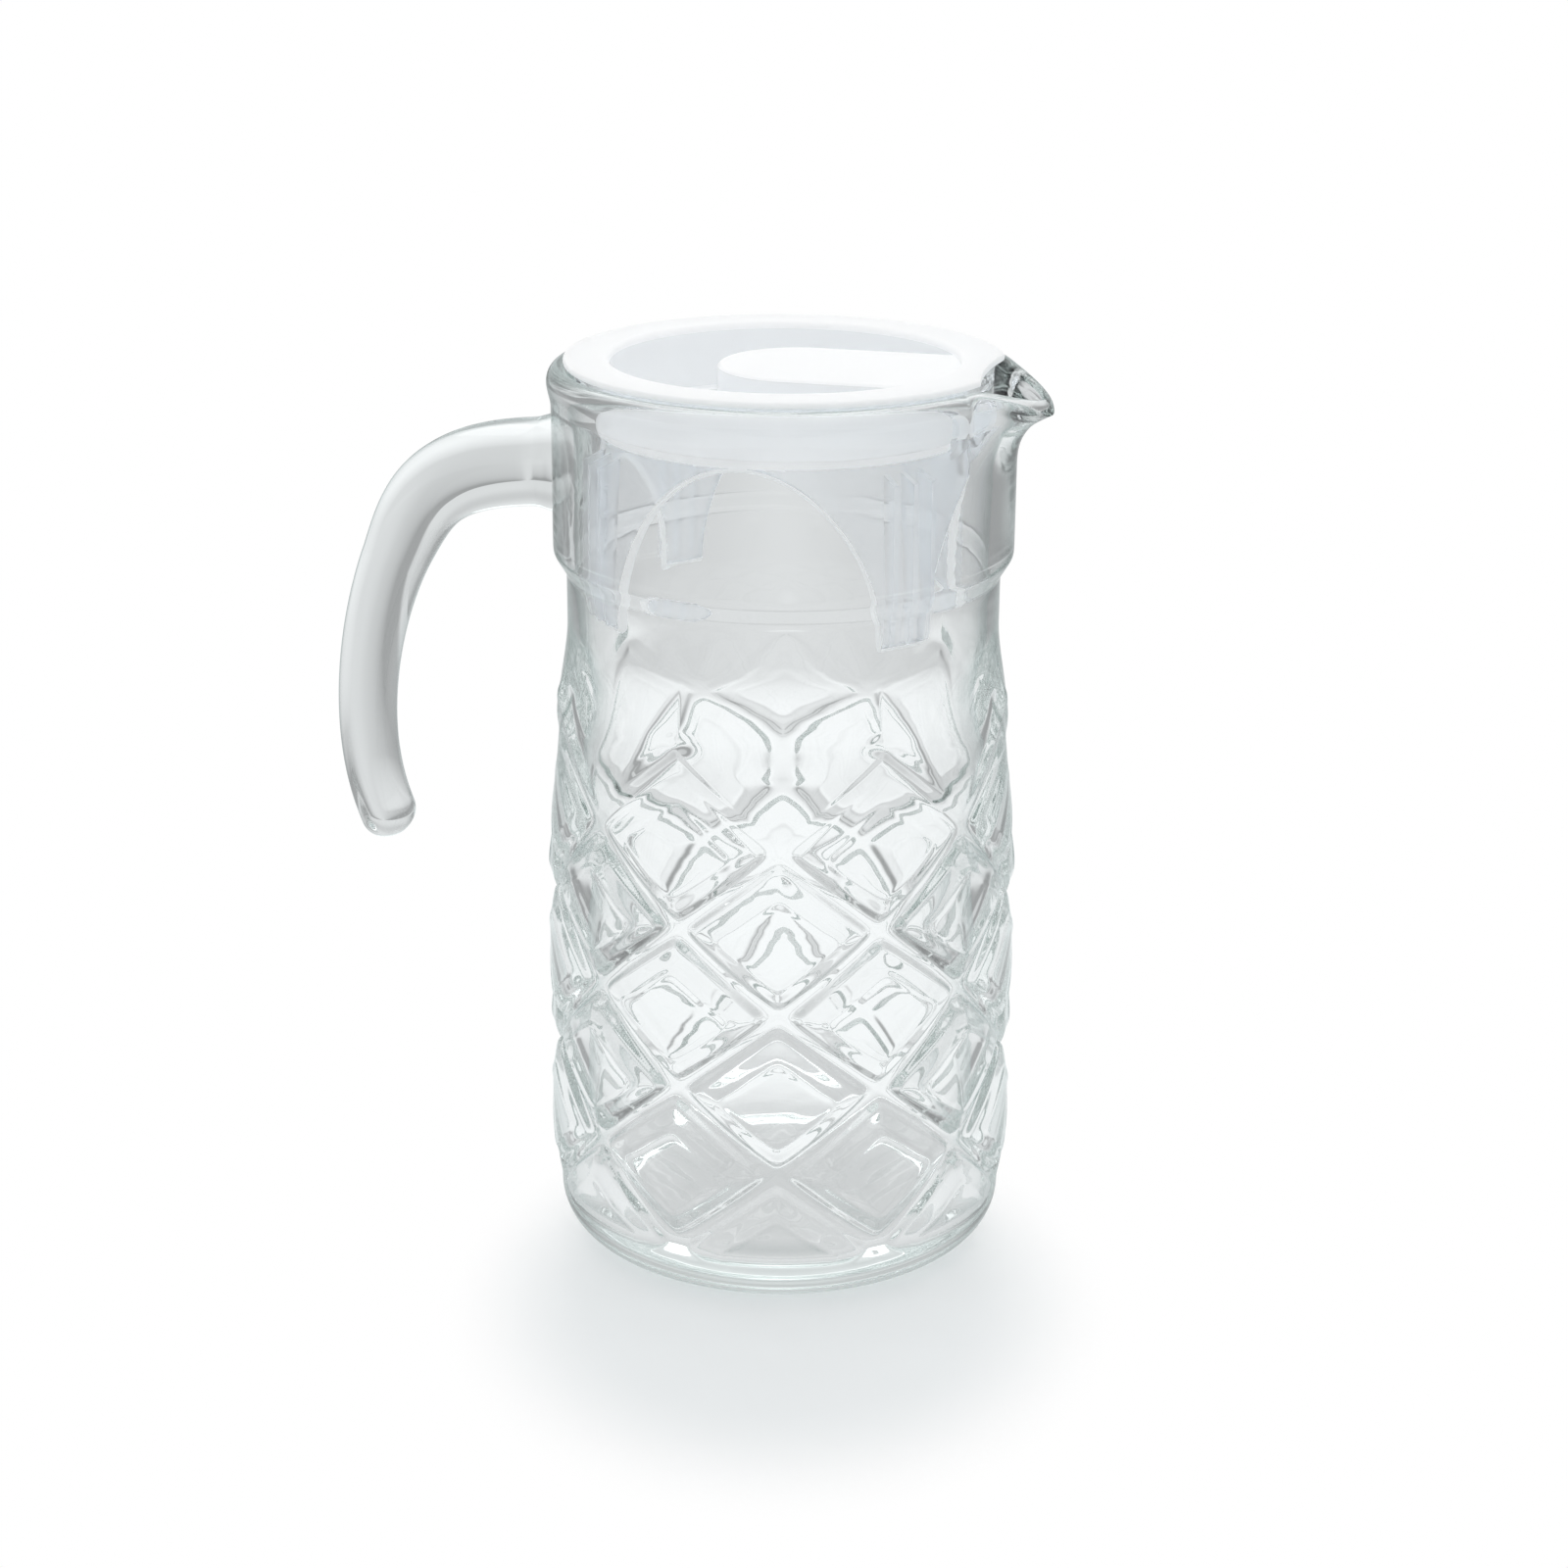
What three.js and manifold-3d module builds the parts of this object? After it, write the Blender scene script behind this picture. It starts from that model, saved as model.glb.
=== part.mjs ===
// Glass jug with a hook handle, a pressed diamond pattern and a loose plastic lid.
// Millimetres, +Z up. The origin is on the jug's axis, on the plane it stands on.
// The spout points along +X and the handle along -X.
import * as THREE from "three";
import { mergeVertices } from "three/addons/utils/BufferGeometryUtils.js";
import Module from "manifold-3d";

const wasm = await Module();
wasm.setup();

// Glass: outside of the jug
const glassHeight = 208;
const footRadius = 52.6;
const heelRadius = 10;
const grooveStep = 1;
const diamondRise = 3.1;
const crownRise = 0.7;
const waistStep = 3;
const waistHeight = 156;
const stepHeight = 6;
const collarRadius = 52.2;
const collarBottom = 166;
const rimBulge = 0.9;
const rimRound = 3.5;
const rimFlare = 5.5;

// Glass: inside of the jug
const collarWall = 4.8;
const footWall = 6.4;
const innerFillet = 10;
const baseThickness = 9;

// Diamond pattern: grooves cross on each column, and neighbour columns are half a pitch apart
const columnCount = 14;
const patternTop = 129.8;
const diamondPitch = 38.6;
const grooveHalfWidth = 1.8;
const bevelWidth = 6;
const patternFade = 9;
const reliefGrow = 42;
const crownPeak = 17;
const crownValley = 9.5;
const shoulderHeight = 20;

// Spout
const spoutOut = 7.5;
const spoutDip = 4.5;
const spoutDepth = 18.5;
const spoutHalfAngle = THREE.MathUtils.degToRad(24);
const spoutCurl = 2.2;

// Handle: a pressed glass hook, fused by its root to the middle of the collar
const weldGap = 0.3;
const handleReach = 99.4;
const handleDrop = 89;
const handleBendOut = 41;
const handleBendDrop = 25;
const handleTipInset = 1.8;
const rootThickness = 20;
const bendThickness = 15.4;
const tipThickness = 12;
const rootWidth = 19;
const tipWidth = 15;
const handleCorner = 2.6;

// Lid: one moulding, with its flange on the rim and its legs inside the jug
const lidSeatGap = 0.3;
const flangeOverlap = 1.9;
const flangeThickness = 1.5;
const skirtInset = 6.2;
const lidWall = 2.2;
const panDepth = 14.7;
const floorThickness = 1.2;
const legLength = 57.5;
const legInset = 3.2;
const islandHalfWidth = 18.5;
const islandEndCentre = 3.5;
const islandSink = 1.5;
const pourHalfWidth = 12.9;
const pourInnerEnd = 11.8;
const notchDepth = 3.7;
const notchRadius = 90;
const sideArchHalfWidth = 29.2;
const sideArchDrop = 17;
const endArchHalfWidth = 23;
const endArchDrop = 26;
const finCount = 3;
const finThickness = 1.2;
const finClearance = 0.9;
const finSink = 0.6;
const finMargin = 2;

// Centring rib: the plain round rib under the flange, on which the lid turns in the mouth
const ribWidth = 2.4;
const ribHeight = 3.5;
const ribClearance = 0.8;

// How finely round shapes are cut
const stepsPerColumn = 4;
const stepsPerHalfPitch = 4;
const heelSteps = 4;
const rimSteps = 6;
const lidSegments = 72;
const sectionPoints = 16;
const handleSteps = 20;
const capSteps = 4;

// Values that follow from the sizes above
const grooveRadius = footRadius - grooveStep;
const innerFootRadius = grooveRadius - footWall;
const waistRadius = collarRadius - waistStep;
const mouthRadius = collarRadius - collarWall;
const rimRadius = collarRadius + rimBulge;
const rimStart = glassHeight - rimRound;
const collarTop = rimStart - rimFlare;
const spoutRoot = rimStart - spoutDepth;
const columnAngle = 2 * Math.PI / columnCount;
const halfPitch = diamondPitch / 2;
const columnWidth = grooveRadius * columnAngle;
const flangeBottom = glassHeight + lidSeatGap;
const flangeTop = flangeBottom + flangeThickness;
const flangeRadius = mouthRadius + flangeOverlap;
const skirtRadius = mouthRadius - skirtInset;
const panRadius = skirtRadius - lidWall;
const floorTop = flangeTop - panDepth;
const floorBottom = floorTop - floorThickness;
const legEnd = flangeTop - legLength;
const legRadius = innerRadius(legEnd) - legInset;
const islandTop = flangeTop - islandSink;

// Soft step from 0 at low to 1 at high
function softStep(value, low, high) {
  return THREE.MathUtils.smoothstep(value, low, high);
}

// Inside radius of the glass: it narrows evenly from the mouth down to the foot
function innerRadius(height) {
  const share = (height - baseThickness) / (rimStart - baseThickness);
  return THREE.MathUtils.lerp(innerFootRadius, mouthRadius, THREE.MathUtils.clamp(share, 0, 1));
}

// Distance of a value from the nearest even whole number
function fromEven(value) {
  return Math.abs(value - 2 * Math.round(value / 2));
}

// Share of the full rise at a place on the pattern: 0 in a groove, 1 on a diamond's flat
function diamondShape(column, row) {
  const unit = 1 / Math.hypot(1 / columnWidth, 1 / halfPitch);
  const distance = Math.min(fromEven(column + row), fromEven(column - row)) * unit;
  return softStep(distance, grooveHalfWidth, grooveHalfWidth + bevelWidth);
}

// Outside radius of the jug below its rim
function outerRadius(angle, height) {
  const column = angle / columnAngle;
  const row = (height - patternTop) / halfPitch;
  const aboveZigzag = row > -fromEven(column);
  const wave = Math.abs(Math.cos(column * Math.PI / 2));
  const crownTop = patternTop + THREE.MathUtils.lerp(crownValley, crownPeak, wave);
  const shoulder = 1 - softStep(height, crownTop - shoulderHeight / 2, crownTop + shoulderHeight / 2);
  const fade = softStep(height, heelRadius, heelRadius + patternFade);
  const step = softStep(height, collarBottom - stepHeight, collarBottom);
  const plain = THREE.MathUtils.lerp(waistRadius, collarRadius, step);
  const ground = THREE.MathUtils.lerp(footRadius, grooveRadius, fade);
  const depth = softStep(patternTop - height, 0, reliefGrow);
  const rise = (aboveZigzag ? crownRise : diamondRise * depth) * diamondShape(column, row) * fade;
  const patterned = ground + rise;
  return THREE.MathUtils.lerp(plain, patterned, shoulder * (1 - step));
}

// How strongly a place on the rim is drawn out into the spout
function spoutPull(angle, height) {
  const turn = Math.atan2(Math.sin(angle), Math.cos(angle)) / spoutHalfAngle;
  if (Math.abs(turn) >= 1 || height <= spoutRoot) {
    return 0;
  }
  const up = Math.min((height - spoutRoot) / (rimStart - spoutRoot), 1);
  return Math.cos(turn * Math.PI / 2) ** 2 * up ** spoutCurl;
}

// Rows of the jug's section from the foot, up the outside, over the rim and down the inside.
// Each row gives its radius for an angle, and its height.
function jugRows() {
  const rows = [];
  for (let step = 0; step <= heelSteps; step += 1) {
    const turn = step / heelSteps * Math.PI / 2;
    const height = heelRadius * (1 - Math.cos(turn));
    rows.push({ height, radius: () => footRadius - heelRadius * (1 - Math.sin(turn)) });
  }
  const outside = (height) => rows.push({ height, radius: (angle) => outerRadius(angle, height) });
  const rowHeight = halfPitch / stepsPerHalfPitch;
  const rowsDown = Math.floor((patternTop - heelRadius) / rowHeight - 1 / 2);
  const rowsUp = Math.floor((waistHeight - patternTop) / rowHeight - 1 / 2);
  for (let row = -rowsDown; row <= rowsUp; row += 1) {
    outside(patternTop + row * rowHeight);
  }
  outside(waistHeight);
  for (const share of [0, 1 / 3, 2 / 3, 1]) {
    outside(collarBottom - stepHeight * (1 - share));
  }
  outside((collarBottom + spoutRoot) / 2);
  outside(spoutRoot);
  for (const share of [1 / 3, 2 / 3]) {
    outside(THREE.MathUtils.lerp(spoutRoot, collarTop, share));
  }
  outside(collarTop);
  const flareMiddle = (collarTop + rimStart) / 2;
  rows.push({ height: flareMiddle, radius: () => (collarRadius + rimRadius) / 2 });
  const rimMiddle = (rimRadius + mouthRadius) / 2;
  const rimHalf = (rimRadius - mouthRadius) / 2;
  for (let step = 0; step <= rimSteps; step += 1) {
    const turn = step / rimSteps * Math.PI;
    const height = rimStart + rimRound * Math.sin(turn);
    rows.push({ height, radius: () => rimMiddle + rimHalf * Math.cos(turn) });
  }
  const inside = (height) => rows.push({ height, radius: () => innerRadius(height) });
  inside(flareMiddle);
  inside(collarTop);
  for (const share of [2 / 3, 1 / 3, 0]) {
    inside(THREE.MathUtils.lerp(spoutRoot, collarTop, share));
  }
  const filletTop = baseThickness + innerFillet;
  for (const share of [3 / 4, 1 / 2, 1 / 4]) {
    inside(THREE.MathUtils.lerp(filletTop, spoutRoot, share));
  }
  for (let step = 0; step <= heelSteps; step += 1) {
    const turn = step / heelSteps * Math.PI / 2;
    const height = baseThickness + innerFillet * (1 - Math.sin(turn));
    rows.push({ height, radius: () => innerRadius(filletTop) - innerFillet * (1 - Math.cos(turn)) });
  }
  return rows;
}

// Closed skin over rings of points, with a middle point on each end
function skinRings(rings, firstMiddle, lastMiddle, leansRight) {
  const count = rings[0].length;
  const points = rings.flat();
  points.push(firstMiddle, lastMiddle);
  const faces = [];
  const first = points.length - 2;
  const last = points.length - 1;
  for (let side = 0; side < count; side += 1) {
    const next = (side + 1) % count;
    faces.push(first, next, side);
    for (let ring = 0; ring + 1 < rings.length; ring += 1) {
      const a = ring * count + side;
      const b = ring * count + next;
      const c = b + count;
      const d = a + count;
      if (leansRight(ring, side)) {
        faces.push(a, b, c, a, c, d);
      } else {
        faces.push(a, b, d, b, c, d);
      }
    }
    faces.push((rings.length - 1) * count + side, (rings.length - 1) * count + next, last);
  }
  const geometry = new THREE.BufferGeometry();
  geometry.setAttribute("position", new THREE.Float32BufferAttribute(points.flatMap((p) => p.toArray()), 3));
  geometry.setIndex(faces);
  return geometry;
}

// Jug body: one skin, with the edges between facets laid along the grooves
function jugBody() {
  const rows = jugRows();
  const sides = columnCount * stepsPerColumn;
  const rings = rows.map((row) => Array.from({ length: sides }, (unused, side) => {
    const angle = side / sides * 2 * Math.PI;
    const pull = spoutPull(angle, row.height);
    const radius = row.radius(angle) + spoutOut * pull;
    const height = row.height - spoutDip * pull;
    return new THREE.Vector3(radius * Math.cos(angle), radius * Math.sin(angle), height);
  }));
  const followsGroove = (ring, side) => {
    const column = (side + 1 / 2) / stepsPerColumn;
    const middle = (rows[ring].height + rows[Math.min(ring + 1, rows.length - 1)].height) / 2;
    const row = (middle - patternTop) / halfPitch;
    return fromEven(column - row) < fromEven(column + row);
  };
  const foot = new THREE.Vector3(0, 0, 0);
  const floor = new THREE.Vector3(0, 0, baseThickness);
  return skinRings(rings, foot, floor, followsGroove);
}

// Solid for cutting and joining, from a closed geometry
function solid(geometry) {
  const plain = geometry.clone();
  plain.deleteAttribute("normal");
  plain.deleteAttribute("uv");
  const merged = mergeVertices(plain, 1e-4);
  const vertProperties = new Float32Array(merged.getAttribute("position").array);
  const triVerts = new Uint32Array(merged.getIndex().array);
  return new wasm.Manifold(new wasm.Mesh({ numProp: 3, vertProperties, triVerts }));
}

// Geometry back from a solid
function geometryOf(manifold) {
  const mesh = manifold.getMesh();
  const geometry = new THREE.BufferGeometry();
  geometry.setAttribute("position", new THREE.BufferAttribute(new Float32Array(mesh.vertProperties), 3));
  geometry.setIndex(new THREE.BufferAttribute(new Uint32Array(mesh.triVerts), 1));
  return geometry;
}

// Turned solid about +Z from a closed outline of [radius, height] pairs
function turned(outline, segments) {
  const points = outline.map(([radius, height]) => new THREE.Vector2(radius, height));
  const geometry = new THREE.LatheGeometry(points, segments);
  geometry.rotateX(Math.PI / 2);
  return solid(geometry);
}

// Solid of a flat shape in X and Y, from one height up to another
function upright(shape, low, high, curveSegments) {
  const geometry = new THREE.ExtrudeGeometry(shape, { depth: high - low, bevelEnabled: false, curveSegments });
  geometry.translate(0, 0, low);
  return solid(geometry);
}

// Handle: a rounded section swept along the hook, cut to the collar's curve at its root
function handle() {
  const rootHeight = (collarBottom + collarTop) / 2;
  const bendX = collarRadius + handleBendOut;
  const bendZ = rootHeight - handleBendDrop;
  const tipX = handleReach - handleTipInset;
  const tipZ = rootHeight - handleDrop;
  const inHandlePlane = (x, z) => new THREE.Vector3(-x, 0, z);
  const slope = { x: handleBendOut / 6, z: handleBendDrop * 3 / 5 };
  const outward = new THREE.CubicBezierCurve3(
    inHandlePlane(collarRadius - rootThickness / 4, rootHeight),
    inHandlePlane(collarRadius + handleBendOut * 3 / 4, rootHeight),
    inHandlePlane(bendX - slope.x, bendZ + slope.z),
    inHandlePlane(bendX, bendZ),
  );
  const downward = new THREE.CubicBezierCurve3(
    inHandlePlane(bendX, bendZ),
    inHandlePlane(bendX + slope.x, bendZ - slope.z),
    inHandlePlane(handleReach + slope.x, tipZ + (bendZ - tipZ) / 3),
    inHandlePlane(tipX, tipZ),
  );
  const across = new THREE.Vector3(0, 1, 0);
  const ringAt = (middle, along, thickness, width) => {
    const up = new THREE.Vector3().crossVectors(along, across).normalize();
    return Array.from({ length: sectionPoints }, (unused, index) => {
      const turn = (index + 1 / 2) / sectionPoints * 2 * Math.PI;
      const round = (value) => Math.sign(value) * Math.abs(value) ** (2 / handleCorner);
      return middle.clone()
        .addScaledVector(across, round(Math.cos(turn)) * width / 2)
        .addScaledVector(up, round(Math.sin(turn)) * thickness / 2);
    });
  };
  const rings = [];
  const half = handleSteps / 2;
  for (let step = 0; step <= handleSteps; step += 1) {
    const curve = step < half ? outward : downward;
    const share = step < half ? step / half : (step - half) / half;
    const thickness = step < half
      ? THREE.MathUtils.lerp(rootThickness, bendThickness, share ** 2)
      : THREE.MathUtils.lerp(bendThickness, tipThickness, Math.sin(share * Math.PI / 2));
    const width = THREE.MathUtils.lerp(rootWidth, tipWidth, step / handleSteps);
    rings.push(ringAt(curve.getPoint(share), curve.getTangent(share), thickness, width));
  }
  const end = downward.getPoint(1);
  const along = downward.getTangent(1);
  const capLength = tipThickness / 2;
  for (let step = 1; step < capSteps; step += 1) {
    const turn = step / capSteps * Math.PI / 2;
    const middle = end.clone().addScaledVector(along, capLength * Math.sin(turn));
    rings.push(ringAt(middle, along, tipThickness * Math.cos(turn), tipWidth * Math.cos(turn)));
  }
  const tip = end.clone().addScaledVector(along, capLength);
  const swept = solid(skinRings(rings, outward.getPoint(0), tip, () => true));
  const cutRadius = collarRadius + weldGap;
  const cutLow = collarBottom - rootThickness;
  const cutHigh = glassHeight + rootThickness;
  const collar = turned([[0, cutLow], [cutRadius, cutLow], [cutRadius, cutHigh], [0, cutHigh]],
    columnCount * stepsPerColumn);
  return geometryOf(swept.subtract(collar));
}

// Flat shape of the island: round on the handle side, straight towards the spout
function islandShape(halfWidth, reach) {
  const shape = new THREE.Shape();
  shape.moveTo(reach, -halfWidth);
  shape.lineTo(reach, halfWidth);
  shape.lineTo(islandEndCentre, halfWidth);
  shape.absarc(islandEndCentre, 0, halfWidth, Math.PI / 2, Math.PI * 3 / 2, false);
  return shape;
}

// Outline of the pour tunnel, square at its end under the island
function tunnelShape(reach) {
  const inner = islandEndCentre - pourInnerEnd;
  const shape = new THREE.Shape();
  shape.moveTo(inner, -pourHalfWidth);
  shape.lineTo(reach, -pourHalfWidth);
  shape.lineTo(reach, pourHalfWidth);
  shape.lineTo(inner, pourHalfWidth);
  return shape;
}

// Cutter for one arch of the skirt, a half ellipse that runs out along +X
function archCutter(halfWidth, top, turn) {
  const shape = new THREE.Shape();
  shape.moveTo(-halfWidth, legEnd - finMargin);
  shape.lineTo(halfWidth, legEnd - finMargin);
  shape.absellipse(0, legEnd, halfWidth, top - legEnd, 0, Math.PI, false);
  const geometry = new THREE.ExtrudeGeometry(shape, {
    depth: mouthRadius,
    bevelEnabled: false,
    curveSegments: lidSegments / 3,
  });
  geometry.rotateX(Math.PI / 2);
  geometry.rotateZ(Math.PI / 2 + turn);
  return solid(geometry);
}

// Angles at the leg ends between the side arches and the end arches, one leg in each quarter
function legAngles() {
  const fromEnd = Math.asin(endArchHalfWidth / legRadius);
  const fromSide = Math.PI / 2 - Math.asin(sideArchHalfWidth / legRadius);
  return { low: fromEnd, high: fromSide };
}

// Upright fins that keep the legs off the glass
function legFins() {
  const { low, high } = legAngles();
  const edge = Math.asin(finThickness / legRadius);
  const fins = [];
  const bottom = legEnd + finMargin;
  const top = floorBottom - finMargin;
  const inner = legRadius - lidWall / 2;
  const outer = innerRadius(bottom) - finClearance;
  const topInner = skirtRadius - lidWall / 2;
  for (const quarter of [[1, 1], [-1, 1], [-1, -1], [1, -1]]) {
    for (let index = 0; index < finCount; index += 1) {
      const share = finCount > 1 ? index / (finCount - 1) : 1 / 2;
      const angle = THREE.MathUtils.lerp(low + edge, high - edge, share);
      const shape = new THREE.Shape();
      shape.moveTo(inner, bottom);
      shape.lineTo(outer - finSink, bottom);
      shape.lineTo(outer, bottom + finMargin);
      shape.lineTo(outer, top - finMargin);
      shape.lineTo(topInner + lidWall / 2, top);
      shape.lineTo(topInner, top);
      const geometry = new THREE.ExtrudeGeometry(shape, { depth: finThickness, bevelEnabled: false });
      geometry.translate(0, 0, -finThickness / 2);
      geometry.rotateX(Math.PI / 2);
      geometry.rotateZ(Math.atan2(quarter[1] * Math.sin(angle), quarter[0] * Math.cos(angle)));
      fins.push(solid(geometry));
    }
  }
  return fins;
}

// Lid: flange, sunken pan with a hollow island, and a skirt that the arches cut into legs
function lid() {
  const bowl = turned([
    [0, floorBottom],
    [panRadius, floorBottom],
    [legRadius - lidWall, legEnd],
    [legRadius, legEnd],
    [skirtRadius, floorBottom],
    [skirtRadius, flangeBottom],
    [flangeRadius, flangeBottom],
    [flangeRadius, flangeTop - flangeThickness / 3],
    [flangeRadius - flangeThickness / 3, flangeTop],
    [panRadius + flangeThickness, flangeTop],
    [panRadius, flangeTop - flangeThickness],
    [panRadius, floorTop],
    [0, floorTop],
  ], lidSegments);
  const arcSegments = lidSegments / 3;
  const panWallMiddle = skirtRadius - lidWall / 2;
  const pan = turned([
    [0, floorBottom],
    [panWallMiddle, floorBottom],
    [panWallMiddle, islandTop],
    [0, islandTop],
  ], lidSegments);
  const island = upright(islandShape(islandHalfWidth, flangeRadius), floorBottom, islandTop, arcSegments);
  const ceiling = islandTop - lidWall;
  const under = floorBottom - lidWall;
  const insidePan = turned([[0, under], [panRadius, under], [panRadius, ceiling], [0, ceiling]], lidSegments);
  const hollow = upright(islandShape(islandHalfWidth - lidWall, flangeRadius), floorTop, ceiling, arcSegments);
  const pour = upright(tunnelShape(flangeRadius + notchDepth), under, ceiling, arcSegments);
  const notchShape = new THREE.Shape();
  notchShape.absarc(flangeRadius - notchDepth + notchRadius, 0, notchRadius, 0, Math.PI * 2, false);
  const notch = upright(notchShape, flangeBottom - lidWall, flangeTop + lidWall, lidSegments);
  let body = bowl.add(island.intersect(pan));
  body = body.subtract(hollow.intersect(insidePan)).subtract(pour).subtract(notch);
  for (const fin of legFins()) {
    body = body.add(fin);
  }
  for (const turn of [Math.PI / 2, -Math.PI / 2]) {
    body = body.subtract(archCutter(sideArchHalfWidth, flangeTop - sideArchDrop, turn));
  }
  for (const turn of [0, Math.PI]) {
    body = body.subtract(archCutter(endArchHalfWidth, flangeTop - endArchDrop, turn));
  }
  return geometryOf(body);
}

// Centring rib: a plain ring just inside the mouth, under the flange
function centringRib() {
  const outer = mouthRadius - ribClearance;
  const inner = outer - ribWidth;
  const top = flangeBottom;
  const bottom = top - ribHeight;
  return geometryOf(turned([
    [inner, bottom],
    [outer, bottom],
    [outer, top],
    [inner, top],
    [inner, bottom],
  ], lidSegments));
}

const clearGlass = { color: 0xdfe9e7, roughness: 0.05, metalness: 0, transparent: true, opacity: 0.35 };
const milkyPlastic = { color: 0xf1f4f5, roughness: 0.45, metalness: 0, transparent: true, opacity: 0.75 };

const jug = new THREE.Group();
const pieces = [
  ["jug_body", jugBody, clearGlass],
  ["handle", handle, clearGlass],
  ["lid", lid, milkyPlastic],
  ["lid_centring_rib", centringRib, milkyPlastic],
];
for (const [name, make, finish] of pieces) {
  const mesh = new THREE.Mesh(make(), new THREE.MeshStandardMaterial(finish));
  mesh.name = name;
  jug.add(mesh);
}

export default jug;
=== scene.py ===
"""Pressed glass jug with a hook handle and a milky lid, in a pale studio.

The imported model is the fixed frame. Each piece here is the fine surface of one of its nodes.
"""

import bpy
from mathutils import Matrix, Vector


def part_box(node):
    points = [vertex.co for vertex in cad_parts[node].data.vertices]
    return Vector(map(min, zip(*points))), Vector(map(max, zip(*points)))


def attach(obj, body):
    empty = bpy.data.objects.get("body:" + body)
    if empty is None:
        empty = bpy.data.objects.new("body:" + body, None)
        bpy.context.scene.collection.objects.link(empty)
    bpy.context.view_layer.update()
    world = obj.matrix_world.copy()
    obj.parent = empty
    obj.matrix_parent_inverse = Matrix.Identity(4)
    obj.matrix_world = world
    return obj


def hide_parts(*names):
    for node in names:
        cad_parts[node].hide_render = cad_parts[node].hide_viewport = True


bl_info = {
    "name": "Glass jug with lid",
    "version": (1, 0, 0),
    "blender": (4, 5, 0),
    "location": "View3D > Sidebar > Jug",
    "description": "Makes the glass, the handle, the lid and a pale studio around the packed jug",
    "category": "Object",
}

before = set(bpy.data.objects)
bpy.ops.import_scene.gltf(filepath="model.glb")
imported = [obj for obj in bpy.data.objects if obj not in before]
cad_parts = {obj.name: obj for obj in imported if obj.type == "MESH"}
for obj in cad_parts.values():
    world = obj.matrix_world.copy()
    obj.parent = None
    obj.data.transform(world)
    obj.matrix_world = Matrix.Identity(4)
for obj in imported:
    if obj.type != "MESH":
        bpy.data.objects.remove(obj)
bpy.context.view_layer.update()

import math

import bpy
import numpy as np
from mathutils import Matrix, Vector

MM = 0.001
GLASS_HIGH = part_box("jug_body")[1]
LID_LOW, LID_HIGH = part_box("lid")
RIB_LOW, RIB_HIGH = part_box("lid_centring_rib")


# Property makers

def length(name, description, millimetres):
    """A length in metres, given in millimetres."""
    return bpy.props.FloatProperty(
        name=name,
        description=description,
        default=millimetres * MM,
        unit="LENGTH",
        precision=5,
    )


def share(name, description, default):
    """A number from 0 to 1."""
    return bpy.props.FloatProperty(
        name=name, description=description, default=default, min=0, max=1, subtype="FACTOR"
    )


def colour(name, description, default):
    """A linear colour."""
    return bpy.props.FloatVectorProperty(
        name=name, description=description, default=default, size=3, min=0, max=1, subtype="COLOR"
    )


def angle(name, description, degrees):
    """An angle in radians, given in degrees."""
    return bpy.props.FloatProperty(
        name=name, description=description, default=math.radians(degrees), unit="ROTATION"
    )


def number(name, description, default):
    """A plain number."""
    return bpy.props.FloatProperty(name=name, description=description, default=default)


def count(name, description, default):
    """A whole number."""
    return bpy.props.IntProperty(name=name, description=description, default=default, min=1)


# Sizes and colours

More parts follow.
